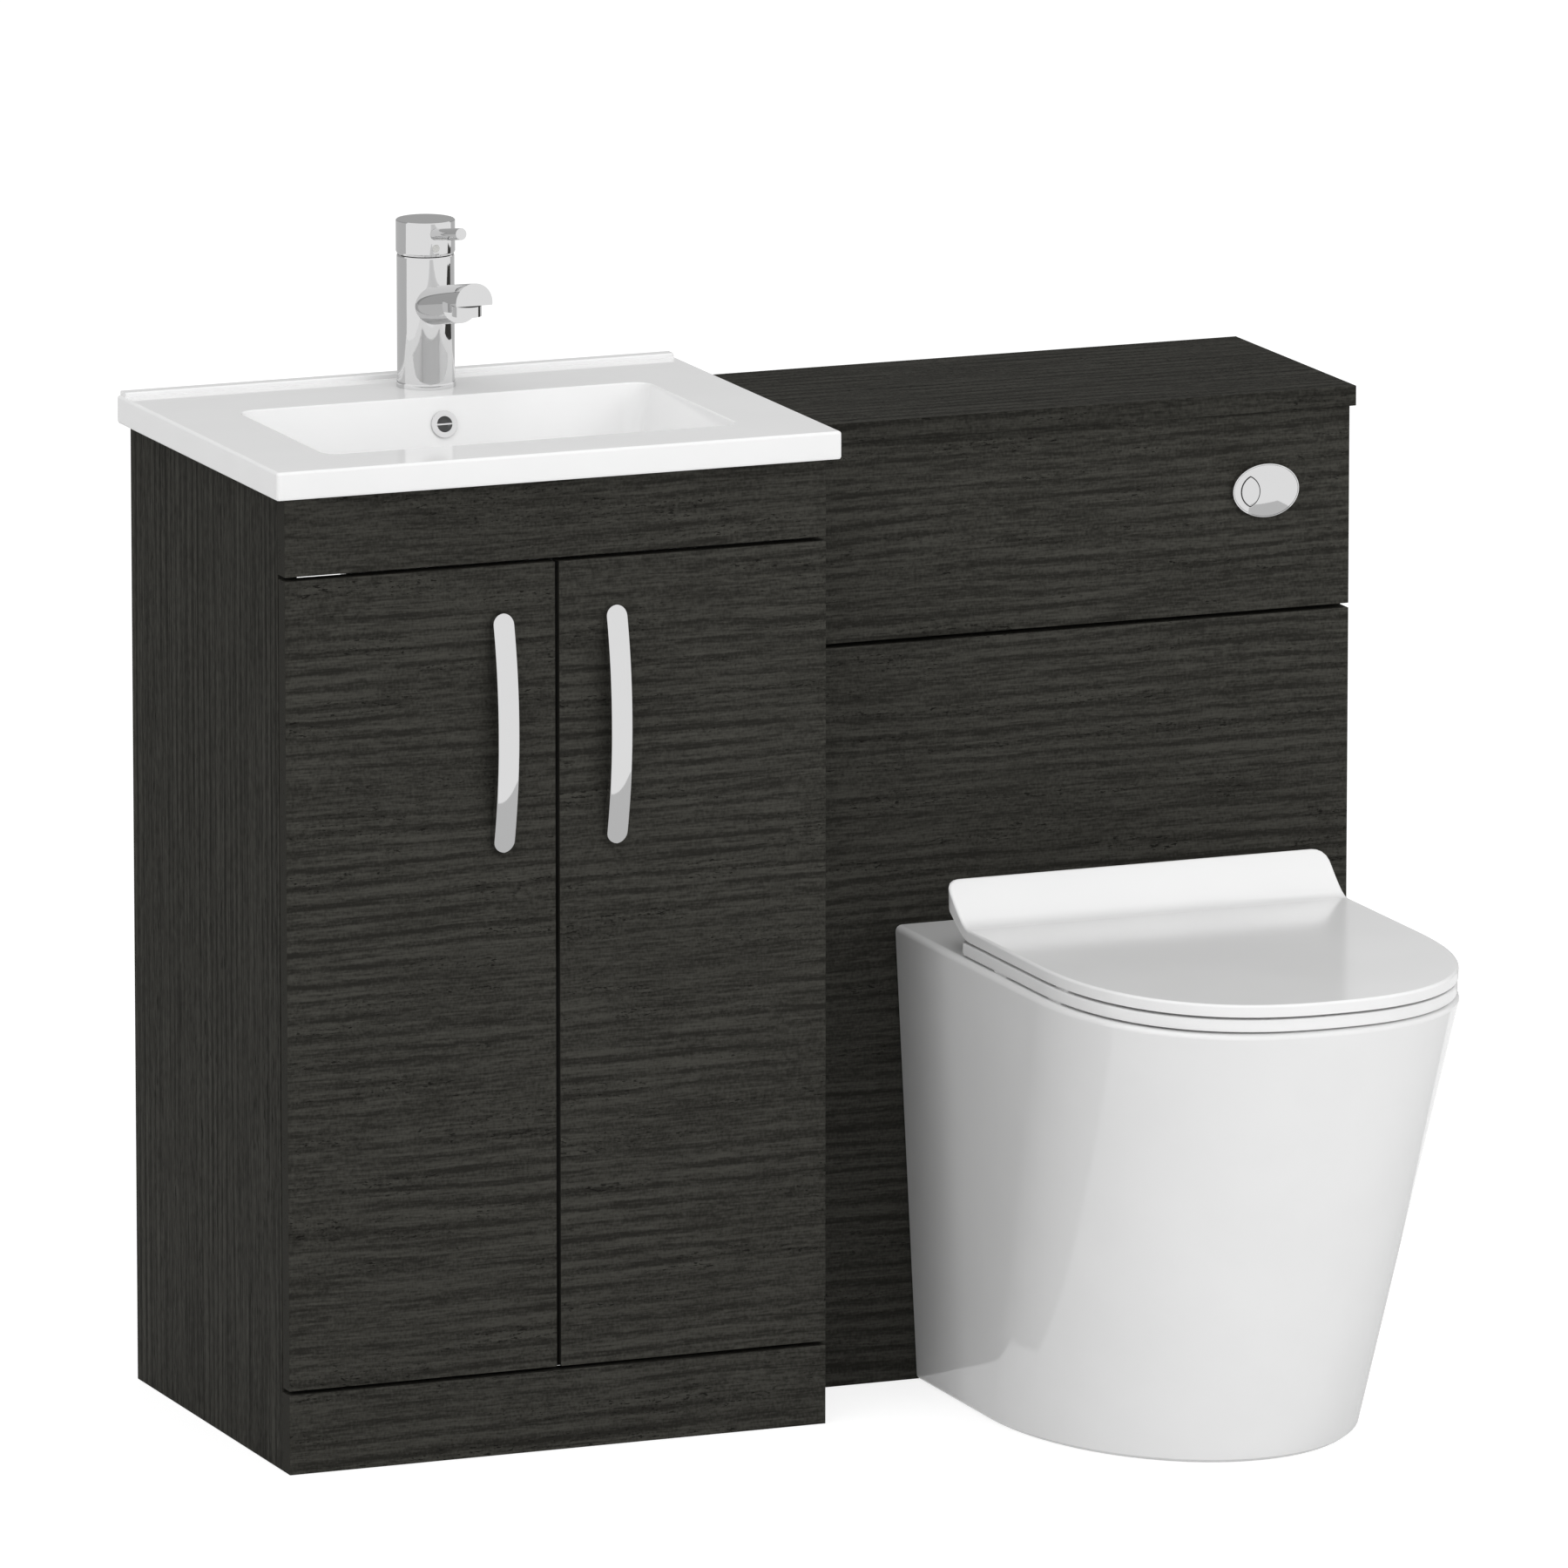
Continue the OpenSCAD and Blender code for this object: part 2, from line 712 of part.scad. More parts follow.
module tap_cartridge() {
    color("white") tap_frame() difference() {
        union() {
            rod_z([0, 0, cap_z - 46], 17.8, 38);
            rod_z([0, 0, cap_z - 8], 15, 5);
        }
        for (a = [30, 150, 270]) rotate(a) rod_z([0, 9, cap_z - 47], 3.5, 16);
    }
}

// Turns with the cap for the temperature, and holds the pin that the cap tilts on
module tap_rotor() {
    color("silver") tap_frame() {
        rod_z([0, 0, cap_z - 2.7], 12, tilt_z - cap_z + 2.7 + 5);
        rod_x([-21, 0, tilt_z], 2.5, 42);
    }
}

module tap_cap() {
    inner = cap_r - 2.6;
    color("silver") tap_frame() difference() {
        union() {
            difference() {
                rotate_extrude() polygon([
                    [0, cap_z], [cap_r - cap_edge[0], cap_z], [cap_r, cap_z + cap_edge[1]],
                    [cap_r, tap_top - 0.8], [cap_r - 0.8, tap_top], [0, tap_top]]);
                rod_z([0, 0, cap_z - 1], inner, cap_h - 3);
            }
            for (s = [-1, 1]) intersection() {
                translate([s * 19 - 4.5, -5, tilt_z - 5]) cube([9, 10, cap_h - 16]);
                rod_z([0, 0, cap_z], inner + 1, cap_h - 1);
            }
        }
        rod_x([-21.5, 0, tilt_z], 2.5 + run, 43);
        lever_frame() {
            cylinder(r = 5.2, h = 10);
            translate([0, 0, -4]) cylinder(r = 3.45, h = 8);
        }
        rod_y([0, -inner + 2, lever_z - 12.4], 3.4, 10);
    }
}

// The lever starts a little inside the cap's skin and slopes up to the front
lever_sink = 1.1;

module lever_frame() {
    translate([0, -cap_r + lever_sink, lever_z]) rotate([90 - lever_rise, 0, 0]) children();
}

module tap_lever() {
    color("silver") tap_frame() lever_frame() {
        cylinder(r = 5.15, h = (lever_reach - cap_r + lever_sink) / cos(lever_rise));
        translate([0, 0, -2.6]) cylinder(r = 3.4, h = 3);
    }
}

module tap_index() {
    color("silver") tap_frame() rod_y([0, -cap_r + 2.4, lever_z - 12.4], 3.35, 2.7);
}

module tap_stud() {
    color("goldenrod") tap_frame() rod_z([0, -12, vanity_h - 36], 3.9, basin_t + 56);
}

// A horseshoe washer under the deck with the nut that draws the tap down
module tap_clamp() {
    low = basin_top - china - 4;
    color("goldenrod") tap_frame() {
        translate([0, 0, low]) difference() {
            cylinder(r = 22, h = 3);
            translate([0, 4, -1]) cylinder(r = 14, h = 5);
            translate([-14, 4, -1]) cube([28, 30, 5]);
            translate([0, -12, -1]) cylinder(r = 4, h = 5);
        }
        translate([0, -12, low - 8]) difference() {
            cylinder(r = 7.5, h = 7.8, $fn = 6);
            translate([0, 0, -1]) cylinder(r = 4, h = 10);
        }
    }
}

// ---------------------------------------------------------------- WC cabinet

module wc_side_left() {
    color("#2f2f2c") place() plank(wc_x0, 0, 0, board, wc_carcass, wc_h);
}

module wc_side_right() {
    color("#2f2f2c") place() plank(wc_x1 - board, 0, 0, board, wc_carcass, wc_h);
}

// Rails between the sides: two on the wall and one behind the joint of the panels
wc_rail_hole = [80, wc_h - 30, 3];

module wc_rails() {
    inner = wc_w - 2 * board;
    color("#2f2f2c") place() {
        difference() {
            plank(wc_x0 + board, 0, wc_h - 50, inner, board, 50);
            for (x = [wc_x0 + wc_rail_hole[0], wc_x1 - wc_rail_hole[0]])
                rod_y([x, 1, wc_rail_hole[1]], wc_rail_hole[2], board + 2);
        }
        plank(wc_x0 + board, 0, 0, inner, board, 70);
        plank(wc_x0 + board, wc_carcass - board, lower_h - 40, inner, board, 70);
    }
}

module wc_upper_panel() {
    color("#343431") place() difference() {
        plank(wc_x0, wc_carcass, upper_z, wc_w, board, wc_h - upper_z);
        rod_y([button_x, -wc_carcass + 1, button_z], 20.5, board + 2);
    }
}

module wc_lower_panel() {
    color("#343431") place() difference() {
        plank(wc_x0, wc_carcass, 0, wc_w, board, lower_h);
        rod_y([pan_x, -wc_carcass + 1, flush_z], 34, board + 2);
        rod_y([pan_x, -wc_carcass + 1, soil_z], 66, board + 2);
    }
}

module wc_worktop() {
    color("#343431") place() plank(top_x0, 0, wc_h, top_x1 - top_x0, wc_d + 5, board);
}

// ---------------------------------------------------------------- cistern

tank_l = tank_y[0] - tank_y[1];

module tank_form(inset, z0, z1) {
    hull() for (end = [[z0, 10], [z1 - eps, 0]])
        translate([pan_x, (tank_y[0] + tank_y[1]) / 2, end[0]]) linear_extrude(eps)
            round_rect(tank_w - 2 * inset - end[1], tank_l - 2 * inset - end[1] / 2, 14 - inset);
}

fill_x = pan_x - 125;

module cistern_tank() {
    color("white") place() difference() {
        tank_form(0, tank_z[0], tank_z[1]);
        tank_form(tank_wall, tank_z[0] + tank_wall, tank_z[1] + 1);
        rod_z([pan_x, valve_y, tank_z[0] - 1], 30, 10);
        rod_z([fill_x, valve_y, tank_z[0] - 1], 10.6, 10);
        for (x = [-130, 130]) rod_y([pan_x + x, 0, tank_z[1] - 18], 4, 40);
    }
}

module cistern_lid() {
    color("white") place() translate([pan_x, (tank_y[0] + tank_y[1]) / 2, tank_z[1]]) {
        difference() {
            linear_extrude(5) round_rect(tank_w + 4, tank_l + 4, 14);
            rod_z([60, 0, -1], 12, 8);
        }
        translate([0, 0, -6]) linear_extrude(6) difference() {
            round_rect(tank_w - 9, tank_l - 9, 9);
            round_rect(tank_w - 15, tank_l - 15, 6);
        }
    }
}

// A threaded tail below, a riser, the valve head and the float cup that shuts it
module fill_valve() {
    low = tank_z[0];
    color("white") place() translate([fill_x, valve_y, 0]) {
        rod_z([0, 0, low - 34], 10.4, 25);
        rod_z([0, 0, low - 10], 10.1, 16);
        rod_z([0, 0, low + tank_wall], 17, 5);
        translate([0, 0, low - 9]) cylinder(r = 16, h = 8.8, $fn = 6);
        rod_z([0, 0, low], 9, 225);
        difference() {
            rod_z([0, 0, low + 120], 28, 70);
            rod_z([0, 0, low + 119], 12, 66);
            difference() {
                rod_z([0, 0, low + 119], 26, 66);
                rod_z([0, 0, low + 118], 14, 70);
            }
        }
        rod_z([0, 0, low + 214], 15, 26);
        rod_x([0, 0, low + 226], 5, 30);
    }
}

// Seat and outlet tail, ported cage, overflow tube and actuator head
module flush_valve() {
    low = tank_z[0];
    color("white") place() translate([pan_x, valve_y, 0]) difference() {
        union() {
            rod_z([0, 0, low - 30], 29.5, 36);
            rod_z([0, 0, low + tank_wall], 38, 5);
            rod_z([0, 0, low + 8], 36, 60);
            rod_z([0, 0, low + 60], 22, 150);
            rod_z([0, 0, low + 205], 34, 34);
            translate([0, 0, low - 12]) cylinder(r = 38, h = 11.8, $fn = 12);
        }
        rod_z([0, 0, low - 31], 25, 50);
        rod_z([0, 0, low + 10], 32, 46);
        rod_z([0, 0, low + 50], 19, 150);
        for (a = [0:60:300]) rotate(a) translate([20, -8, low + 14]) cube([30, 16, 36]);
        for (x = [-14, 14]) rod_z([x, 0, low + 225], 6, 20);
    }
}

// From the cistern's tail down and forward into the pan's inlet
module flush_pipe() {
    bend = 60;
    top = tank_z[0] - 34;
    run_l = pan_back - bend + valve_y + 30;
    color("white") place() translate([pan_x, valve_y, 0]) difference() {
        union() {
            flush_run(bend, 25, top - flush_z - bend, run_l);
            rod_z([0, 0, top - 14], 36, 20);
        }
        flush_run(bend, 22, top - flush_z - bend + 40, run_l + 10);
        rod_z([0, 0, top + 4], 30, 40);
    }
}

// An upright length, a quarter bend and a level length, all of one radius
module flush_run(bend, r, up, out) {
    rod_z([0, 0, flush_z + bend], r, up);
    translate([0, -bend, flush_z + bend]) rotate([0, 90, 0]) rotate_extrude(angle = 90)
        translate([bend, 0]) circle(r = r);
    rod_y([0, -bend, flush_z], r, out);
}

// Sleeve over the pan's outlet, reduced to the pipe that leaves through the wall
module soil_connector() {
    color("#d9d9d6") place() translate([pan_x, 0, soil_z]) rotate([90, 0, 0]) difference() {
        union() {
            cylinder(r = 55, h = 150);
            translate([0, 0, 148]) cylinder(r = 61, h = 90);
            for (z = [156:14:184]) translate([0, 0, z]) cylinder(r = 64, h = 3);
        }
        translate([0, 0, -1]) cylinder(r = 51, h = 170);
        translate([0, 0, 165]) cylinder(r = 54, h = 80);
    }
}

// ---------------------------------------------------------------- flush buttons

module oval(w, h) { scale([w / h, 1, 1]) circle(d = h); }

module button_frame() {
    place() translate([button_x, -wc_d, button_z]) rotate([90, 0, 0]) children();
}

// The half-flush button's outline between two arcs
module half_zone(grow) {
    r = (half_h * half_h + half_w * half_w) / (4 * half_w);
    translate([half_x, 0]) intersection_for (s = [-1, 1])
        translate([s * (r - half_w / 2), 0]) circle(r = r + grow);
}

// Rim on the panel's face with a barrel through the panel and the nut behind it
module button_housing() {
    color("silver") button_frame() {
        difference() {
            union() {
                linear_extrude(button_deep) oval(button_w, button_h);
                translate([0, 0, -board - 18]) cylinder(r = 20, h = board + 19);
            }
            translate([0, 0, 1.2]) linear_extrude(button_deep)
                oval(button_w - 2 * button_rim, button_h - 2 * button_rim);
            translate([0, 0, -board - 19]) cylinder(r = 17.5, h = board + 22);
        }
        translate([0, 0, -board - 8]) difference() {
            cylinder(r = 26, h = 7.8, $fn = 12);
            translate([0, 0, -1]) cylinder(r = 20, h = 10);
        }
    }
}

module flush_button_full() {
    color("silver") button_frame() {
        intersection() {
            translate([0, 0, button_deep - 1.3]) linear_extrude(6) difference() {
                oval(button_w - 2 * button_rim - 2 * button_gap,
                     button_h - 2 * button_rim - 2 * button_gap);
                half_zone(button_gap);
            }
            button_cap();
        }
        translate([6, 0, -14]) cylinder(r = 7, h = button_deep + 13);
    }
}

module flush_button_half() {
    color("silver") button_frame() {
        intersection() {
            translate([0, 0, button_deep - 1.3]) linear_extrude(6) half_zone(0);
            button_cap();
        }
        translate([-11, 0, -14]) cylinder(r = 4, h = button_deep + 13);
    }
}

// The shared domed top of both buttons
module button_cap() { translate([0, 0, button_deep + 2.2 - 180]) sphere(r = 180, $fn = 240); }

// ---------------------------------------------------------------- pan

// Outline of the pan at a height, from the foot to the rim, drawn in by an inset
function pan_half(z, inset, yb) =
    let (t = z / pan_h,
         a = (foot_w + (pan_w - foot_w) * t) / 2 - inset,
         yc = foot_straight + (straight_y - foot_straight) * t,
         front = -foot_front + (foot_front - pan_front + 4) * t + inset)
    half_d(a, yb, yc, yc - front, 1, 2, 22, 2 + (rim_square - 2) * t);

module pan_skin(inset, z0, z1, yb, soft) {
    loft(concat(
        [loop(pan_half(z0, inset + soft / 2, yb), z0), loop(pan_half(z0 + soft / 2, inset, yb), z0 + soft / 2)],
        [for (i = [0:4]) let (t = i * 22.5, z = z1 - soft + soft * sin(t))
            loop(pan_half(z, inset + soft * (1 - cos(t)), yb), z)]));
}

module bowl_skin(grow, top) {
    loft([
        loop(half_e(42 + grow, 48 + grow, -470), 118 - grow),
        loop(half_e(66 + grow, 80 + grow, -496), 158 - grow / 2),
        loop(half_e(96 + grow, 122 + grow, -545), 240),
        loop(half_e(118 + grow, 150 + grow, -578), 330),
        loop(half_e(124 + grow, 158 + grow, -588), top)]);
}

module pan() {
    color("white") place() translate([pan_x, 0, 0]) difference() {
        union() {
            difference() {
                pan_skin(0, 0, pan_h, -pan_back, rim_round);
                pan_skin(pan_wall, -3, pan_h - rim_t, -pan_back + 20, 1);
            }
            bowl_skin(10, pan_h - rim_t + 1);
            translate([0, -440, 150]) rotate([-62, 0, 0]) cylinder(r = 52, h = 115);
            rod_y([0, -wc_carcass - 1, soil_z], 51, 110);
            rod_y([0, -pan_back, flush_z], 36, 60);
            rod_y([0, -pan_back - 40, flush_z], 30, 130);
        }
        bowl_skin(0, pan_h + 1);
        translate([0, -440, 150]) rotate([-62, 0, 0]) cylinder(r = 42.5, h = 106);
        rod_y([0, -wc_carcass, soil_z], 40, 138);
        rod_y([0, -pan_back + 1, flush_z], 28, 48);
        rod_y([0, -pan_back - 40, flush_z], 20, 170);
        for (s = [-1, 1]) {
            rod_z([s * post_off, hinge_y, pan_h - 40], 6, 50);
            rod_x([s * (foot_w / 2 - 10.5) - 6.5, -pan_back - 35, 28], 4, 13);
        }
    }
}

// Two angle brackets inside the skirt, with the screws that hold the pan to them
module pan_brackets() {
    inner = foot_w / 2 - pan_wall + 1.2;
    color("silver") place() translate([pan_x, 0, 0]) for (s = [0, 1]) mirror([s, 0, 0])
        translate([0, -pan_back - 50, 0]) {
            difference() {
                union() {
                    translate([inner - 38, 0, 0]) cube([34, 30, 3]);
                    translate([inner - 7, 0, 0]) cube([3, 30, 44]);
                }
                rod_z([inner - 24, 15, -1], 3.5, 5);
            }
            rod_x([inner - 5, 15, 28], 6.5, 4.8);
            rod_x([inner - 8, 15, 28], 3.4, 14);
            rod_x([inner - 10, 15, 28], 6, 3.2);
        }
}

// ---------------------------------------------------------------- seat and lid

pad = [8, 26];

// Posts on the pan's deck, each with the cross pin that carries the seat and the lid
module seat_hinge() {
    color("silver") place() for (s = [-1, 1])
        translate([pan_x + s * post_off, hinge_y, 0]) {
            rod_z([0, 0, pan_h], 15, 3);
            rod_z([0, 0, pan_h], 9, hinge_h - pan_h + 6);
            rod_z([0, 0, pan_h - 46], 4, 50);
            rod_x([-27, 0, hinge_h], 4, 54);
            translate([0, 0, pan_h - rim_t - 9]) cylinder(r = 11, h = 8.5, $fn = 12);
        }
}

// An eye round the cross pin with a strap that reaches forward to join the shell
module lug(x, w, reach, low, high) {
    translate([x, hinge_y, hinge_h]) rotate([90, 0, 90]) linear_extrude(w) difference() {
        union() {
            circle(r = 7.5, $fn = 48);
            polygon([[0, -7.5], [-reach, low - hinge_h], [-reach, high - hinge_h], [-6, 4.5]]);
        }
        circle(r = 4 + run);
    }
}

function seat_half(inset) = half_d(seat_w / 2 - 0.2 - inset, -seat_back - inset, straight_y,
                                   pan_front - 3 + straight_y - inset, 14, n = rim_square);

module seat() {
    soft = 2;
    color("white") place() translate([pan_x, 0, 0]) difference() {
        union() {
            loft(concat(
                [for (i = [0:2]) let (t = 90 - i * 45)
                    loop(seat_half(soft * (1 - cos(t))), seat_z + soft * (1 - sin(t)))],
                [for (i = [0:2]) let (t = i * 45)
                    loop(seat_half(soft * (1 - cos(t))), seat_z + seat_t - soft * (1 - sin(t)))]));
            for (s = [-1, 1]) lug(s * post_off - s * 17.5 - 6.5, 13, 62, seat_z + 1, seat_z + seat_t - 1);
        }
        loft([
            loop(half_e(112, 152, -588), seat_z - 1),
            loop(half_e(110, 150, -588), seat_z + 3),
            loop(half_e(110, 150, -588), seat_z + seat_t - 4),
            loop(half_e(116, 156, -588), seat_z + seat_t + 1)]);
    }
}

// Half width of the seat's outline at a distance from the wall
function rim_at(y) =
    let (t = max(0, straight_y - y) / (pan_front + straight_y))
    seat_w / 2 * pow(1 - pow(t, rim_square), 1 / rim_square);

module pads(ys, z) {
    for (s = [-1, 1], y = ys)
        translate([pan_x + s * (rim_at(y - pad[1] / 2) - 2.9 - pad[0] / 2) - pad[0] / 2,
                   y - pad[1] / 2, z])
            cube([pad[0], pad[1], seat_gap]);
}

module seat_bumpers() { color("white") place() pads([-484, -600], pan_h); }

// Height of the lid over its flat, from the crease up to the raised back edge
function lid_lift(y) =
    let (t = max(0, min(1, (y + lid_back + lid_sweep) / lid_sweep)))
    lid_rise * (0.45 * t * t + 0.55 * t * t * (3 - 2 * t));

function lid_half(inset) = half_d(seat_w / 2 - inset, -lid_back - inset, straight_y,
                                  pan_front + straight_y - inset, 12, 26, n = rim_square);

function lid_ring(inset, z, thin = 0) =
    let (ring = loop(lid_half(inset), z))
    raise(ring, [for (p = ring) lid_lift(p[1]) * (1 - thin)]);

module lid() {
    soft = 2.6;
    color("white") place() translate([pan_x, 0, 0]) {
        loft(concat(
            [lid_ring(2, lid_z, 0.33), lid_ring(0.4, lid_z + 0.8, 0.3)],
            [for (i = [0:4]) let (t = i * 22.5)
                lid_ring(soft * (1 - cos(t)), lid_top - soft * (1 - sin(t)))]));
        for (s = [-1, 1]) lug(s * post_off + s * 17.5 - 6.5, 13, 56, lid_z + 2, lid_z + 12);
        translate([-pan_x, 0, 0]) pads([-614], seat_z + seat_t);
    }
}

// ---------------------------------------------------------------- nodes

vanity_side_left();
vanity_side_right();
vanity_base();
vanity_shelf();
shelf_pins();
vanity_front_rail();
vanity_back_rail();
vanity_fascia();
vanity_plinth();
left_door();
right_door();
left_handle();
right_handle();
left_handle_screws();
right_handle_screws();
left_hinge_arms();
right_hinge_arms();
left_hinge_links();
right_hinge_links();
left_hinge_cups();
right_hinge_cups();
basin();
overflow_ring();
waste_body();
waste_plug();
waste_nut();
trap_body();
trap_cup();
trap_outlet();
tap_seal();
tap_body();
tap_aerator();
tap_cartridge();
tap_rotor();
tap_cap();
tap_lever();
tap_index();
tap_stud();
tap_clamp();
wc_side_left();
wc_side_right();
wc_rails();
wc_upper_panel();
wc_lower_panel();
wc_worktop();
cistern_tank();
cistern_lid();
fill_valve();
flush_valve();
flush_pipe();
soil_connector();
button_housing();
flush_button_full();
flush_button_half();
pan();
pan_brackets();
seat_hinge();
seat();
seat_bumpers();
lid();
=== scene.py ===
"""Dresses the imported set, a vanity with a basin beside a toilet unit, and sets up its studio."""

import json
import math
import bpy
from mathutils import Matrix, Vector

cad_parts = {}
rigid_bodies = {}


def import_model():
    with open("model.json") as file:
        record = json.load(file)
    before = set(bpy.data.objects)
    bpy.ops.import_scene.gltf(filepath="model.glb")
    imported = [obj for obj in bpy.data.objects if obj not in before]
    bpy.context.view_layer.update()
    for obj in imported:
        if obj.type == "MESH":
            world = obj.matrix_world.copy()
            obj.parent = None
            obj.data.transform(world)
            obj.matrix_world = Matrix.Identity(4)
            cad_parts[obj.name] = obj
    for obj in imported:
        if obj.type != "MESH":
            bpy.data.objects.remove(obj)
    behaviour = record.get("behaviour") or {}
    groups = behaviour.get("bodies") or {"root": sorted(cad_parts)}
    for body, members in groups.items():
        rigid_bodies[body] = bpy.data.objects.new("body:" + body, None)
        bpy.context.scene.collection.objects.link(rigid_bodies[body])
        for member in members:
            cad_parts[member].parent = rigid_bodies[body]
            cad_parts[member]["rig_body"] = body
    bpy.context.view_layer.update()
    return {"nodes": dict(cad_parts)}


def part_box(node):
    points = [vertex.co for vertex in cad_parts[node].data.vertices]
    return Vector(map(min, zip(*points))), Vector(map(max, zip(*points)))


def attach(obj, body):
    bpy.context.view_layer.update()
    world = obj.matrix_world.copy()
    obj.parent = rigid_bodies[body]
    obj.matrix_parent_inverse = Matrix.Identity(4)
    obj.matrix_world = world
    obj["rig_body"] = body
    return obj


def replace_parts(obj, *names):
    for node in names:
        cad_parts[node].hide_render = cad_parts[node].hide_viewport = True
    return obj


bl_info = {
    "name": "Vanity and toilet set",
    "version": (1, 0, 0),
    "blender": (4, 5, 0),
    "location": "View3D > Sidebar > Bathroom set",
    "description": "Boards, china, tap, seat and studio of a vanity and toilet unit",
    "category": "Object",
}

import bmesh
import bpy
from bpy.props import FloatProperty, FloatVectorProperty, PointerProperty
from bpy.types import Operator, Panel, PropertyGroup
from mathutils import Vector

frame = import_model()
NODES = frame["nodes"]

MM = 0.001
ON_FACE = 2e-5  # how near a point counts as lying on a plane
WELD = 1e-6  # how near two points count as one
SAME_WAY = 0.999999  # how alike two faces' normals are in one plane
WHITE = (1.0, 1.0, 1.0)


# ---------------------------------------------------------------- settings


class LaminateSettings(PropertyGroup):
    """The woodgrain foil on every board"""

    dark: FloatVectorProperty(
        name="Dark grain",
        description="Colour of the dark lines of the grain",
        subtype="COLOR",
        size=3,
        min=0.0,
        max=1.0,
        default=(0.0195, 0.0188, 0.0163),
    )
    light: FloatVectorProperty(
        name="Light grain",
        description="Colour between the lines of the grain",
        subtype="COLOR",
        size=3,
        min=0.0,
        max=1.0,
        default=(0.0560, 0.0546, 0.0476),
    )
    pore: FloatVectorProperty(
        name="Pores",
        description="Colour of the short open pores",
        subtype="COLOR",
        size=3,
        min=0.0,
        max=1.0,
        default=(0.0075, 0.0072, 0.0062),
    )
    relief: FloatProperty(
        name="Relief",
        description="Depth of the embossed grain",
        subtype="DISTANCE",
        unit="LENGTH",
        min=0.0,
        max=0.001,
        default=0.00012,
    )
    edge: FloatProperty(
        name="Edge radius",
        description="Radius of the boards' outer edges",
        subtype="DISTANCE",
        unit="LENGTH",
        min=0.0001,
        max=0.002,
        default=0.0005,
    )


class ChinaSettings(PropertyGroup):
    """The glazed basin and pan"""

    glaze: FloatVectorProperty(
        name="Glaze",
        description="Colour of the glaze",
        subtype="COLOR",
        size=3,
        min=0.0,
        max=1.0,
        default=(0.85, 0.85, 0.85),
    )
    gloss: FloatProperty(
        name="Roughness",
        description="Roughness of the glaze",
        subtype="FACTOR",
        min=0.0,
        max=1.0,
        default=0.08,
    )
    lip: FloatProperty(
        name="Bowl edge radius",
        description="Radius of the edge between the basin's deck and its bowl",
        subtype="DISTANCE",
        unit="LENGTH",
        min=0.0005,
        max=0.006,
        default=0.0013,
    )


class SeatSettings(PropertyGroup):
    """The moulded seat and lid"""

    colour: FloatVectorProperty(
        name="Moulding",
        description="Colour of the seat and the lid",
        subtype="COLOR",
        size=3,
        min=0.0,
        max=1.0,
        default=(0.845, 0.845, 0.845),
    )
    gloss: FloatProperty(
        name="Roughness",
        description="Roughness of the moulding",
        subtype="FACTOR",
        min=0.0,
        max=1.0,
        default=0.14,
    )


class MetalSettings(PropertyGroup):
    """The plated and plain metals"""

    chrome: FloatVectorProperty(
        name="Chrome",
        description="Colour of the chrome plate",
        subtype="COLOR",
        size=3,
        min=0.0,
        max=1.0,
        default=(0.705, 0.705, 0.707),
    )
    chrome_gloss: FloatProperty(
        name="Chrome roughness",
        description="Roughness of the chrome plate",
        subtype="FACTOR",
        min=0.0,
        max=1.0,
        default=0.012,
    )
    steel: FloatVectorProperty(
        name="Plated steel",
        description="Colour of the hinges and brackets",
        subtype="COLOR",
        size=3,
        min=0.0,
        max=1.0,
        default=(0.56, 0.56, 0.57),
    )
    brass: FloatVectorProperty(
        name="Brass",
        description="Colour of the tap's fixing",
        subtype="COLOR",
        size=3,
        min=0.0,
        max=1.0,
        default=(0.62, 0.43, 0.17),
    )


class StudioSettings(PropertyGroup):
    """Lamps, floor and camera"""

    key: FloatProperty(
        name="Key lamp",
        description="Power of the large lamp in front and to the right",
        subtype="POWER",
        unit="POWER",
        min=0.0,
        max=1000.0,
        default=46.0,
    )
    fill: FloatProperty(
        name="Top lamp",
        description="Power of the lamp over the set",
        subtype="POWER",
        unit="POWER",
        min=0.0,
        max=1000.0,
        default=15.0,
    )
    front: FloatProperty(
        name="Lit side",
        description="Brightness of the room on the lit side, to the left and front",
        min=0.0,
        max=2.0,
        default=1.06,
    )
    back: FloatProperty(
        name="Far side",
        description="Brightness of the room on the other side, to the right and back",
        min=0.0,
        max=2.0,
        default=0.60,
    )
    azimuth: FloatProperty(
        name="Camera azimuth",
        description="Direction of the camera, from straight in front",
        subtype="ANGLE",
        unit="ROTATION",
        min=-math.pi,
        max=math.pi,
        default=math.radians(-22.163),
    )
    elevation: FloatProperty(
        name="Camera elevation",
        description="Height of the camera over the horizon",
        subtype="ANGLE",
        unit="ROTATION",
        min=-math.pi / 2,
        max=math.pi / 2,
        default=math.radians(11.697),
    )
    lens: FloatProperty(
        name="Lens",
        description="Focal length in millimetres on a 36 mm sensor",
        min=20.0,
        max=1000.0,
        default=400.54,
    )


# ---------------------------------------------------------------- shader maths


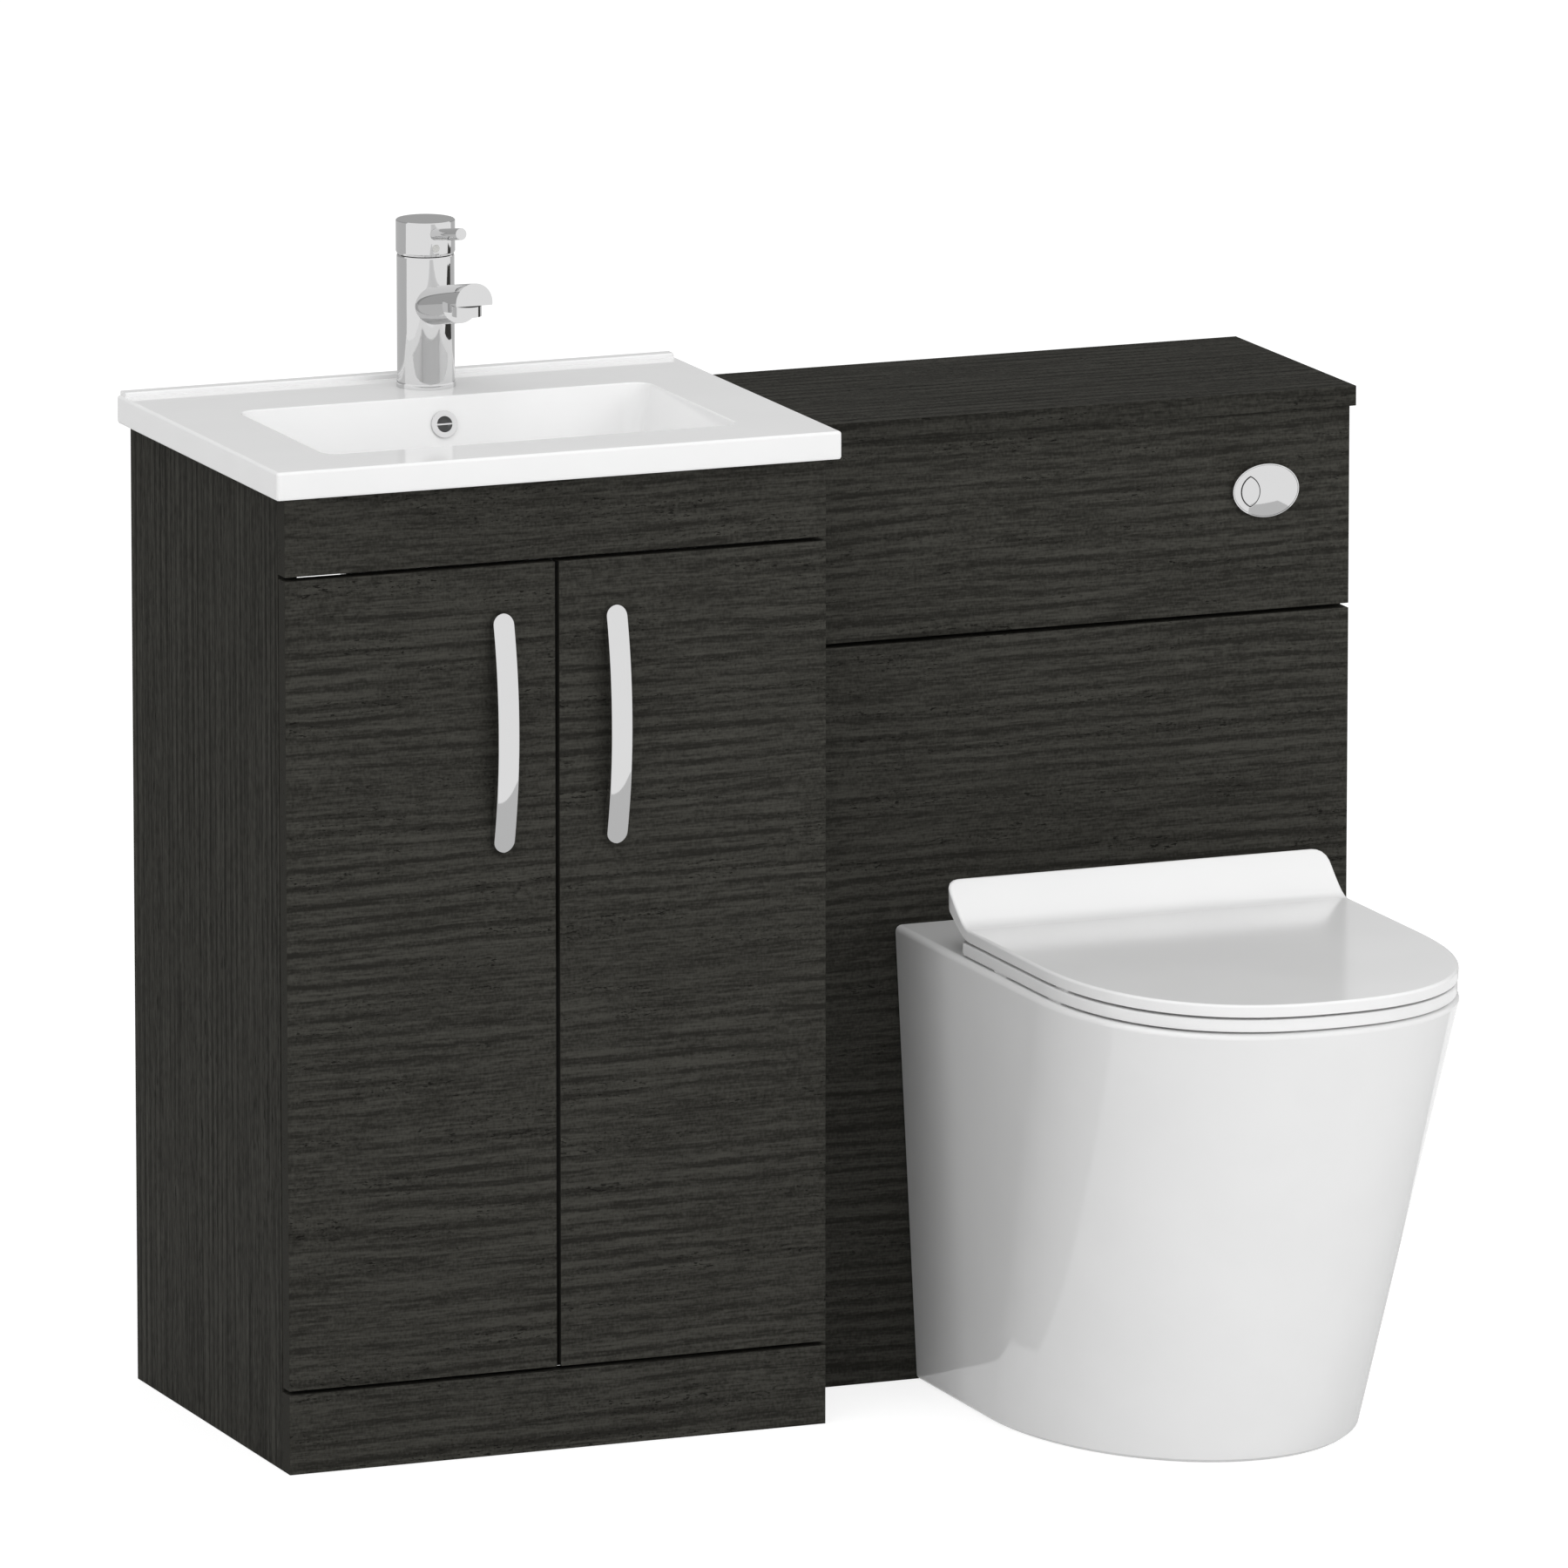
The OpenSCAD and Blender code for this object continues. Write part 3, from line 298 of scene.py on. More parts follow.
class Socket:
    """An output socket that takes part in sums, so that an expression adds its Math nodes"""

    def __init__(self, paint, socket):
        self.paint = paint
        self.socket = socket

    def _with(self, operation, *values):
        return self.paint.add("ShaderNodeMath", {"operation": operation}, dict(enumerate(values)))

    def __add__(self, other):
        return self._with("ADD", self, other)

    __radd__ = __add__

    def __sub__(self, other):
        return self._with("SUBTRACT", self, other)

    def __rsub__(self, other):
        return self._with("SUBTRACT", other, self)

    def __mul__(self, other):
        return self._with("MULTIPLY", self, other)

    __rmul__ = __mul__

    def sine(self):
        return self._with("SINE", self)

    def lowest(self, other):
        return self._with("MINIMUM", self, other)

    def between(self, low, high):
        """0 below low, 1 above high and a smooth step between them"""
        settings = {"interpolation_type": "SMOOTHSTEP"}
        values = {"Value": self, "From Min": low, "From Max": high}
        return self.paint.add("ShaderNodeMapRange", settings, values)


class Paint:
    """A node tree under construction"""

    def __init__(self, name, owner=None):
        self.owner = owner or bpy.data.materials.new(name)
        self.owner.use_nodes = True
        self.tree = self.owner.node_tree
        self.tree.nodes.clear()

    def node(self, kind, settings=None, values=None):
        made = self.tree.nodes.new(kind)
        for key, value in (settings or {}).items():
            if key == "stops":
                ramp = made.color_ramp
                while len(ramp.elements) < len(value):
                    ramp.elements.new(0.5)
                for element, (place, colour) in zip(ramp.elements, value):
                    element.position = place
                    element.color = (*colour, 1.0)
            else:
                setattr(made, key, value)
        for key, value in (values or {}).items():
            target = made.inputs[key]
            if isinstance(value, Socket):
                self.tree.links.new(value.socket, target)
            elif hasattr(value, "__len__") and target.type == "RGBA":
                target.default_value = (*value[:3], 1.0)
            else:
                target.default_value = value
        return made

    def add(self, kind, settings=None, values=None, output=0):
        made = self.node(kind, settings, values)
        return Socket(self, made.outputs[output])

    def mix(self, share, first, second):
        """A colour between two colours"""
        made = self.node(
            "ShaderNodeMix", {"data_type": "RGBA"}, {0: share, 6: first, 7: second}
        )
        return Socket(self, made.outputs[2])

    def place(self, stretch, shift=(0.0, 0.0, 0.0)):
        """Object coordinates, stretched"""
        point = self.add("ShaderNodeTexCoord", output=3)
        return self.add(
            "ShaderNodeMapping", None, {0: point, 1: shift, 3: tuple(stretch)}
        )

    def noise(self, point, detail=2.0, roughness=0.5):
        values = {"Vector": point, "Scale": 1.0, "Detail": detail, "Roughness": roughness}
        return self.add("ShaderNodeTexNoise", None, values)

    def relief(self, height, distance):
        return self.add("ShaderNodeBump", None, {"Height": height, "Distance": distance})

    def glow(self, strength):
        """White light from the surface itself"""
        return self.add("ShaderNodeEmission", None, {"Color": WHITE, "Strength": strength})

    def rays(self):
        """Whether a ray is the camera's own, one off a mirror or one through glass"""
        path = self.node("ShaderNodeLightPath")
        kinds = ("Camera", "Glossy", "Transmission")
        return [Socket(self, path.outputs[f"Is {kind} Ray"]) for kind in kinds]

    def surface(self, values):
        """The Principled shader, wired to the output"""
        shader = self.node("ShaderNodeBsdfPrincipled", None, values)
        self.node("ShaderNodeOutputMaterial", None, {0: Socket(self, shader.outputs[0])})
        return self.owner


# ---------------------------------------------------------------- materials


def woodgrain(name, along, seed, width=1.0, length=1.0, painted_shade=1.0):
    """Dark laminate with its grain along one axis, plain banding on the cut ends, and both grain
    colours scaled down by a factor of painted shade
    """
    look = bpy.context.scene.bath_laminate
    paint = Paint(name)

    def stretched(down, across):
        """How often noise repeats in a metre down the grain and across it, for each axis"""
        return [down / length if axis == along else across / width for axis in "XYZ"]

    ripple_pitch = 0.0145 * width
    sway = 0.007 / length
    calm = 0.62
    shift = (seed * 3.1, seed * 1.7, seed * 2.3)
    place = paint.add("ShaderNodeTexCoord", output=3)
    wave = paint.noise(paint.place(stretched(4.0, 9.0), shift), 2.0)
    bend = (wave - 0.5) * sway
    across = [0.0 if axis == along else 1.0 for axis in "XYZ"]
    bends = dict(enumerate([bend * share for share in across]))
    offset = paint.add("ShaderNodeCombineXYZ", None, bends)
    point = paint.add("ShaderNodeVectorMath", {"operation": "ADD"}, {0: place, 1: offset})

    def grain(down, across, **more):
        scale = tuple(stretched(down, across))
        mapped = paint.add("ShaderNodeMapping", None, {0: point, 1: shift, 3: scale})
        return paint.noise(mapped, **more)

    split = paint.node("ShaderNodeSeparateXYZ", None, {0: point})
    level = sum(Socket(paint, split.outputs[i]) * across[i] for i in range(3))
    phase = level * (math.tau / ripple_pitch) + grain(1.8, 19.0, detail=2.0) * 10.5
    strength = grain(6.0, 16.0, detail=1.0).between(0.34, 0.60)
    crests = (phase.sine() * 0.5 + 0.5).between(0.0, 0.62)
    ripple = crests * strength + (1 - strength) * calm
    bands = grain(7.0, 92.0, detail=1.0, roughness=0.4)
    streaks = grain(15.0, 380.0, detail=2.0, roughness=0.6)
    fibres = grain(80.0, 620.0, detail=1.0, roughness=0.5)
    ticks = grain(430.0, 300.0, detail=1.0)
    tone = (
        ripple * 0.34
        + (bands - 0.5) * 0.42
        + (streaks - 0.5) * 1.00
        + (fibres - 0.5) * 0.85
        + (ticks - 0.5) * 0.75
        + 0.18
    )
    normal = paint.add("ShaderNodeTexCoord", output=1)
    facing = paint.node("ShaderNodeSeparateXYZ", None, {0: normal})
    along_face = Socket(paint, facing.outputs["XYZ".index(along)])
    banding = (along_face * along_face).between(0.35, 0.8)
    share = tone.between(-0.05, 0.95) * (1 - banding) + (0.14 + fibres * 0.30) * banding
    clusters = grain(7.0, 60.0, detail=1.0).between(0.52, 0.62)
    dashes = grain(150.0, 560.0, detail=2.0, roughness=0.6).between(0.60, 0.66)
    pores = dashes * clusters
    # painted shade: both grain colours darkened as a whole for the upright boards and the worktop,
    # standing in for how the lamps fall on them
    dark, light = (tuple(c * painted_shade for c in tint) for tint in (look.dark, look.light))
    colour = paint.mix(share, dark, light)
    colour = paint.mix(pores * 0.85, colour, tuple(look.pore))
    height = share * 0.5 + fibres * 0.3 - pores * 0.8
    return paint.surface(
        {
            "Base Color": colour,
            "Roughness": 0.66 - share * 0.06 + pores * 0.2,
            "Specular IOR Level": 0.02,
            "Normal": paint.relief(height, look.relief),
        }
    )


def glaze(name, colour, roughness):
    """Glazed china: a hard clear surface that is never quite flat"""
    paint = Paint(name)
    swell = paint.noise(paint.place((14.0, 14.0, 14.0)), 1.0)
    peel = paint.noise(paint.place((160.0, 160.0, 160.0)), 2.0)
    tint = paint.mix(swell.between(0.3, 0.7), [c * 0.985 for c in colour], list(colour))
    return paint.surface(
        {
            "Base Color": tint,
            "Roughness": peel * 0.03 + (roughness - 0.015),
            "IOR": 1.52,
            "Normal": paint.relief(swell * 0.7 + peel * 0.3, 0.00004),
        }
    )


def moulding(name, colour, roughness, grain=0.00002, scale=420.0):
    """Moulded plastic, with the faint grain of its tool"""
    paint = Paint(name)
    fine = paint.noise(paint.place((scale,) * 3), 3.0)
    broad = paint.noise(paint.place((9.0, 9.0, 9.0)), 1.0)
    tint = paint.mix(broad.between(0.3, 0.7), [c * 0.98 for c in colour], list(colour))
    return paint.surface(
        {
            "Base Color": tint,
            "Roughness": fine * 0.06 + (roughness - 0.03),
            "IOR": 1.48,
            "Normal": paint.relief(fine, grain),
        }
    )


def plated(name, colour, roughness):
    """Polished plate with a trace of wiping"""
    paint = Paint(name)
    wiped = paint.noise(paint.place((25.0, 25.0, 60.0)), 3.0, 0.6)
    hair = paint.noise(paint.place((900.0, 900.0, 90.0)), 2.0)
    return paint.surface(
        {
            "Base Color": paint.mix(wiped, [c * 0.985 for c in colour], list(colour)),
            "Metallic": 1.0,
            "Roughness": wiped * 0.03 + hair * 0.01 + roughness,
            "Normal": paint.relief(hair, 0.000004),
        }
    )


def brushed(name, colour, roughness):
    """Nickel-plated steel or plain brass with its drawn finish"""
    paint = Paint(name)
    drawn = paint.noise(paint.place((120.0, 1600.0, 1600.0)), 3.0, 0.6)
    dull = paint.noise(paint.place((40.0, 40.0, 40.0)), 2.0)
    return paint.surface(
        {
            "Base Color": paint.mix(drawn, [c * 0.86 for c in colour], list(colour)),
            "Metallic": 1.0,
            "Roughness": drawn * 0.12 + dull * 0.08 + roughness,
            "Normal": paint.relief(drawn, 0.00002),
        }
    )


def shared(name, make, *values):
    """One material of each name, made when it is first asked for"""
    return bpy.data.materials.get(name) or make(name, *values)


def chrome():
    look = bpy.context.scene.bath_metal
    return shared("chrome_plate", plated, tuple(look.chrome), look.chrome_gloss)


def steel():
    return shared("nickel_steel", brushed, tuple(bpy.context.scene.bath_metal.steel), 0.24)


def brass():
    return shared("plain_brass", brushed, tuple(bpy.context.scene.bath_metal.brass), 0.2)


def china():
    look = bpy.context.scene.bath_china
    return shared("white_glaze", glaze, tuple(look.glaze), look.gloss)


def seat_plastic():
    look = bpy.context.scene.bath_seat
    return shared("seat_moulding", moulding, tuple(look.colour), look.gloss)


# near-black rubber for the two rings that paint shade: in the joint under the spout and in the gap
# round the flush button
def painted_shade_rubber():
    return shared("dark_seal", moulding, (0.012, 0.012, 0.012), 0.5, 0.00003, 300.0)


def white_plastic():
    return shared("white_moulding", moulding, (0.78, 0.78, 0.77), 0.34, 0.00003, 260.0)


def pale_plastic():
    return shared("pale_moulding", moulding, (0.62, 0.62, 0.60), 0.45, 0.00004, 220.0)


# ---------------------------------------------------------------- meshes


def finish_shading(bm, angle):
    """Smooth faces, with the edges sharper than an angle kept crisp"""
    for face in bm.faces:
        face.smooth = True
    for edge in bm.edges:
        edge.smooth = edge.is_manifold and edge.calc_face_angle(0.0) < angle


def corner_edges(bm, low, high):
    """The straight edges where two outer faces of a board meet"""
    found = []
    for edge in bm.edges:
        a, b = (v.co for v in edge.verts)
        sides = 0
        for axis in range(3):
            for limit in (low[axis], high[axis]):
                if abs(a[axis] - limit) < ON_FACE and abs(b[axis] - limit) < ON_FACE:
                    sides += 1
        if sides >= 2:
            found.append(edge)
    return found


def clean_copy(node):
    """The node's own mesh as a bmesh, welded and with its flat faces whole"""
    bm = bmesh.new()
    bm.from_mesh(NODES[node].data)
    bmesh.ops.remove_doubles(bm, verts=bm.verts, dist=WELD)
    bmesh.ops.dissolve_limit(
        bm, angle_limit=math.radians(0.2), verts=bm.verts, edges=bm.edges
    )
    return bm


def even_normals(bm):
    """Corner normals in which the large flat faces hold their own direction up to their edges"""
    area = {}
    for first in bm.faces:
        if first in area:
            continue
        flat, stack, size = {first}, [first], 0.0
        while stack:
            face = stack.pop()
            size += face.calc_area()
            for edge in face.edges:
                for other in edge.link_faces:
                    if other not in flat and other.normal.dot(first.normal) > SAME_WAY:
                        flat.add(other)
                        stack.append(other)
        for face in flat:
            area[face] = size
    normals = []
    for face in bm.faces:
        for loop in face.loops:
            vert = loop.vert
            fan, stack = {face}, [face]
            while stack:
                for edge in stack.pop().edges:
                    if edge.smooth and vert in edge.verts:
                        for other in edge.link_faces:
                            if other not in fan:
                                fan.add(other)
                                stack.append(other)
            total = Vector((0.0, 0.0, 0.0))
            for other in fan:
                turn = next(c for c in other.loops if c.vert is vert).calc_angle()
                total += other.normal * (area[other] * turn)
            normals.append(total.normalized() if total.length > 0 else face.normal.copy())
    return normals


def place_on(node, name, mesh, material):
    """An object on a node's body, with the node's material slot"""
    mesh.materials.append(material)
    piece = bpy.data.objects.new(name, mesh)
    bpy.context.scene.collection.objects.link(piece)
    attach(piece, NODES[node]["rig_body"])
    return piece


def settle(bm, node, material, name, angle=35.0):
    """Makes a piece that stands for a node, in its place and on its body"""
    finish_shading(bm, math.radians(angle))
    bmesh.ops.triangulate(bm, faces=[f for f in bm.faces if len(f.verts) > 4])
    mesh = bpy.data.meshes.new(name)
    bm.normal_update()
    bm.faces.index_update()
    normals = even_normals(bm)
    bm.to_mesh(mesh)
    bm.free()
    mesh.normals_split_custom_set(normals)
    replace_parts(place_on(node, name, mesh, material), node)


def soft_board(node, material, radius):
    """A board with its outer edges rounded"""
    bm = clean_copy(node)
    low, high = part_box(node)
    bmesh.ops.bevel(
        bm,
        geom=corner_edges(bm, low, high),
        offset=radius,
        segments=2,
        profile=0.5,
        affect="EDGES",
    )
    settle(bm, node, material, node + "_board", 60.0)


def soft_piece(node, material, radius=0.0, choose=None, segments=2, angle=35.0):
    """A piece with its chosen sharp edges rounded"""
    bm = clean_copy(node)
    if radius:
        edges = [
            e
            for e in bm.edges
            if e.is_manifold
            and e.calc_face_angle(0.0) > math.radians(30)
            and (choose is None or choose(e))
        ]
        bmesh.ops.bevel(
            bm,
            geom=edges,
            offset=radius,
            segments=segments,
            profile=0.5,
            affect="EDGES",
            clamp_overlap=True,
        )
    settle(bm, node, material, node + "_piece", angle)


def skin(rings, ends=True):
    """Faces between closed rings of equal length, with end faces or back to the first ring"""
    bm = bmesh.new()
    rows = [[bm.verts.new(point) for point in ring] for ring in rings]
    pairs = list(zip(rows, rows[1:])) + ([] if ends else [(rows[-1], rows[0])])
    for lower, upper in pairs:
        for i in range(len(lower)):
            j = (i + 1) % len(lower)
            bm.faces.new((lower[i], lower[j], upper[j], upper[i]))
    if ends:
        bm.faces.new(rows[0])
        bm.faces.new(rows[-1])
    bmesh.ops.recalc_face_normals(bm, faces=bm.faces)
    return bm


def join(bm, other):
    """Adds a second piece of mesh to a first one"""
    mesh = bpy.data.meshes.new("part")
    other.to_mesh(mesh)
    other.free()
    bm.from_mesh(mesh)
    bpy.data.meshes.remove(mesh)
    return bm


def circle(x, y, radius, turns):
    """Points of a round outline"""
    angles = [math.tau * i / turns for i in range(turns)]
    return [(x + radius * math.cos(t), y + radius * math.sin(t)) for t in angles]


def arc_radius(half, rise):
    """Radius of an arc from half its chord and its rise"""
    return (half * half + rise * rise) / (2 * rise)


def stem(x, z, radius, front, back):
    """A round stem along Y, its back end slightly dished"""
    dish = 0.4 * MM
    places = ((front, radius), (back + dish, radius), (back, radius - dish))
    return skin([[(a, y, b) for a, b in circle(x, z, r, 28)] for y, r in places])


def extra(bm, name, material, node):
    """A further piece that moves with a node"""
    finish_shading(bm, math.radians(35))
    mesh = bpy.data.meshes.new(name)
    bm.to_mesh(mesh)
    bm.free()
    place_on(node, name, mesh, material)


def coat(nodes, material):
    """A new material on CAD nodes whose shape is right"""
    for node in nodes.split():
        data = NODES[node].data
        data.materials.clear()
        data.materials.append(material)


# ---------------------------------------------------------------- operators


class BATH_OT_side_boards(Operator):
    """Boards with upright grain: sides, rails, base and shelf"""

    bl_idname = "bath.side_boards"
    bl_label = "Side boards"

    def execute(self, context):
        # the side boards' laminate darkened to 0.90 of its colour as painted shade
        upright = woodgrain("laminate_upright_painted_shade", "Z", 1.0, width=0.9, length=3.5, painted_shade=0.90)
        level = shared("laminate_level", woodgrain, "X", 2.0)
        radius = context.scene.bath_laminate.edge
        for node in "vanity_side_left vanity_side_right wc_side_left wc_side_right".split():
            soft_board(node, upright, radius)
        for node in "vanity_base vanity_shelf vanity_front_rail vanity_back_rail wc_rails".split():
            soft_board(node, level, radius)
        coat("shelf_pins", steel())
        return {"FINISHED"}


class BATH_OT_fronts(Operator):
    """Doors, fixed fronts, plinth and worktop, with level grain"""

    bl_idname = "bath.fronts"
    bl_label = "Fronts and worktop"

    def execute(self, context):
        radius = context.scene.bath_laminate.edge
        level = shared("laminate_level", woodgrain, "X", 2.0)
        right = woodgrain("laminate_level_right", "X", 5.0)
        fixed = woodgrain("laminate_level_fixed", "X", 8.0)
        for node in "left_door vanity_fascia".split():
            soft_board(node, level, radius)
        for node in "right_door wc_upper_panel".split():
            soft_board(node, right, radius)
        for node in "vanity_plinth wc_lower_panel".split():
            soft_board(node, fixed, radius)
        # the worktop's laminate darkened to 0.80 of its colour as painted shade on its lit top
        worktop = woodgrain("laminate_worktop_painted_shade", "X", 11.0, painted_shade=0.80)
        soft_board("wc_worktop", worktop, radius)
        return {"FINISHED"}


class BATH_OT_handles(Operator):
    """Bow handles and their screws"""

    bl_idname = "bath.handles"
    bl_label = "Handles"
    end_height = 7 * MM  # of the face over the door, at the strip's ends
    foot = 24 * MM  # of the strip that lies on the door, at each end
    thickness = 5 * MM  # in the middle
    narrowing = 0.965  # of the node's width
    soft_edge = 0.9 * MM
    crown = 1.2 * MM  # of the face, on a strip of full_width
    full_width = 20 * MM
    round_end = (86, 78, 68, 58, 48, 38, 28, 18, 9)  # degrees, from the tip

    def execute(self, context):
        for side in ("left", "right"):
            node = side + "_handle"
            settle(skin(self.bow(node)), node, chrome(), side + "_bow_handle", 50.0)
        coat("left_handle_screws right_handle_screws", steel())
        return {"FINISHED"}

    def bow(self, node):
        """Sections along a strip with round ends that arches away from the door"""
        low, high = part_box(node)
        x, z = (low.x + high.x) / 2, (low.z + high.z) / 2
        half, radius, rise = (high.z - low.z) / 2, (high.x - low.x) / 2, high.y - low.y
        outer = arc_radius(half, rise - self.end_height)
        gap_half, gap_rise = half - self.foot, rise - self.thickness
        inner = arc_radius(gap_half, gap_rise)
        straight = half - radius
        turns = [math.radians(t) for t in self.round_end]
        places = [(-straight - radius * math.sin(t), math.cos(t)) for t in turns]
        places += [(straight * (i / 24 - 1), 1.0) for i in range(49)]
        places += [(straight + radius * math.sin(t), math.cos(t)) for t in reversed(turns)]
        rings = []
        for h, share in places:
            front = rise - outer + math.sqrt(outer * outer - h * h)
            back = gap_rise - inner + math.sqrt(max(0.0, inner * inner - h * h))
            back = max(0.0, back) if abs(h) < gap_half else 0.0
            ring = self.section(radius * self.narrowing * share, front, back)
            rings.append([(x + a, high.y - depth, z + h) for a, depth in ring])
        return rings

    def section(self, half, front, back):
        """Across the strip: a faintly crowned face with soft edges, and a flat back"""
        soft = min(self.soft_edge, half * 0.6)
        crown = self.crown * 2 * half / self.full_width
        chamfer = 0.4 * MM
        flat = half - soft
        right = []
        for i in range(5):
            a = flat * i / 4
            right.append((a, front - crown * (a / half) ** 2))
        top = right[-1][1] - soft
        for t in (60, 30, 0):
            t = math.radians(t)
            right.append((flat + soft * math.cos(t), top + soft * math.sin(t)))
        right += [(half, back + chamfer), (half - chamfer, back)]
        return right + [(-a, depth) for a, depth in reversed(right[1:])]


class BATH_OT_hinges(Operator):
    """Concealed hinges"""

    bl_idname = "bath.hinges"
    bl_label = "Hinges"

    def execute(self, context):
        for side in ("left", "right"):
            for part in ("arms", "links", "cups"):
                coat(side + "_hinge_" + part, steel())
        return {"FINISHED"}


class BATH_OT_basin(Operator):
    """Basin with its soft edges, and the overflow ring"""

    bl_idname = "bath.basin"
    bl_label = "Basin"

    def execute(self, context):
        low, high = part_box("basin")
        deck = high.z - 4 * MM
        border, tap_ledge = 0.03, 0.105

        def bowl_edge(edge):
            """Whether an edge lies on the deck, inside its border and in front of the tap ledge"""
            return all(
                abs(vert.co.z - deck) < ON_FACE
                and low.x + border < vert.co.x < high.x - border
                and low.y + border < vert.co.y < high.y - tap_ledge
                for vert in edge.verts
            )

        lip = context.scene.bath_china.lip
        soft_piece("basin", china(), lip, bowl_edge, segments=4, angle=38.0)
        soft_piece("overflow_ring", chrome(), 0.0005)
        return {"FINISHED"}


class BATH_OT_waste(Operator):
    """Plug, waste and bottle trap"""

    bl_idname = "bath.waste"
    bl_label = "Waste and trap"

    def execute(self, context):
        coat("waste_body waste_plug waste_nut", chrome())
        coat("trap_body trap_cup trap_outlet", white_plastic())
        return {"FINISHED"}


class BATH_OT_tap(Operator):
    """Mixer tap with its spout, cap and lever"""

    bl_idname = "bath.tap"
    bl_label = "Tap"
    nozzle_top = 11.5 * MM  # over the nozzle's lower end
    # the near-black ring under the spout, painted shade for the joint: its thickness, then its
    # play and radii
    seal = 2.4 * MM
    shade_ring_play = 0.05 * MM
    shade_ring_radii = (10 * MM, 12.7 * MM)

    def execute(self, context):
        soft_piece("tap_body", chrome())
        soft_piece("tap_cap", chrome())
        soft_piece("tap_lever", chrome(), 0.0006)
        self.nozzle()
        soft_piece("tap_seal", chrome())
        soft_piece("tap_index", pale_plastic(), 0.0003)
        coat("tap_rotor", steel())
        coat("tap_cartridge", white_plastic())
        coat("tap_stud tap_clamp", brass())
        return {"FINISHED"}

    def nozzle(self):
        """The nozzle under the spout, set down by the thickness of a near-black ring that paints
        the shade of the joint
        """
        low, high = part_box("tap_aerator")
        x, y = (low.x + high.x) / 2, (low.y + high.y) / 2
        flat = low.z + self.nozzle_top
        bm = clean_copy("tap_aerator")
        for vert in bm.verts:
            if abs(vert.co.z - flat) < ON_FACE:
                vert.co.z -= self.seal
        settle(bm, "tap_aerator", chrome(), "spout_nozzle")
        inner, outer = self.shade_ring_radii
        bottom, top = flat - self.seal + self.shade_ring_play, flat - self.shade_ring_play
        corners = ((inner, bottom), (outer, bottom), (outer, top), (inner, top))
        rings = [[(a, b, z) for a, b in circle(x, y, r, 64)] for r, z in corners]
        extra(skin(rings, ends=False), "nozzle_painted_shade", painted_shade_rubber(), "tap_aerator")


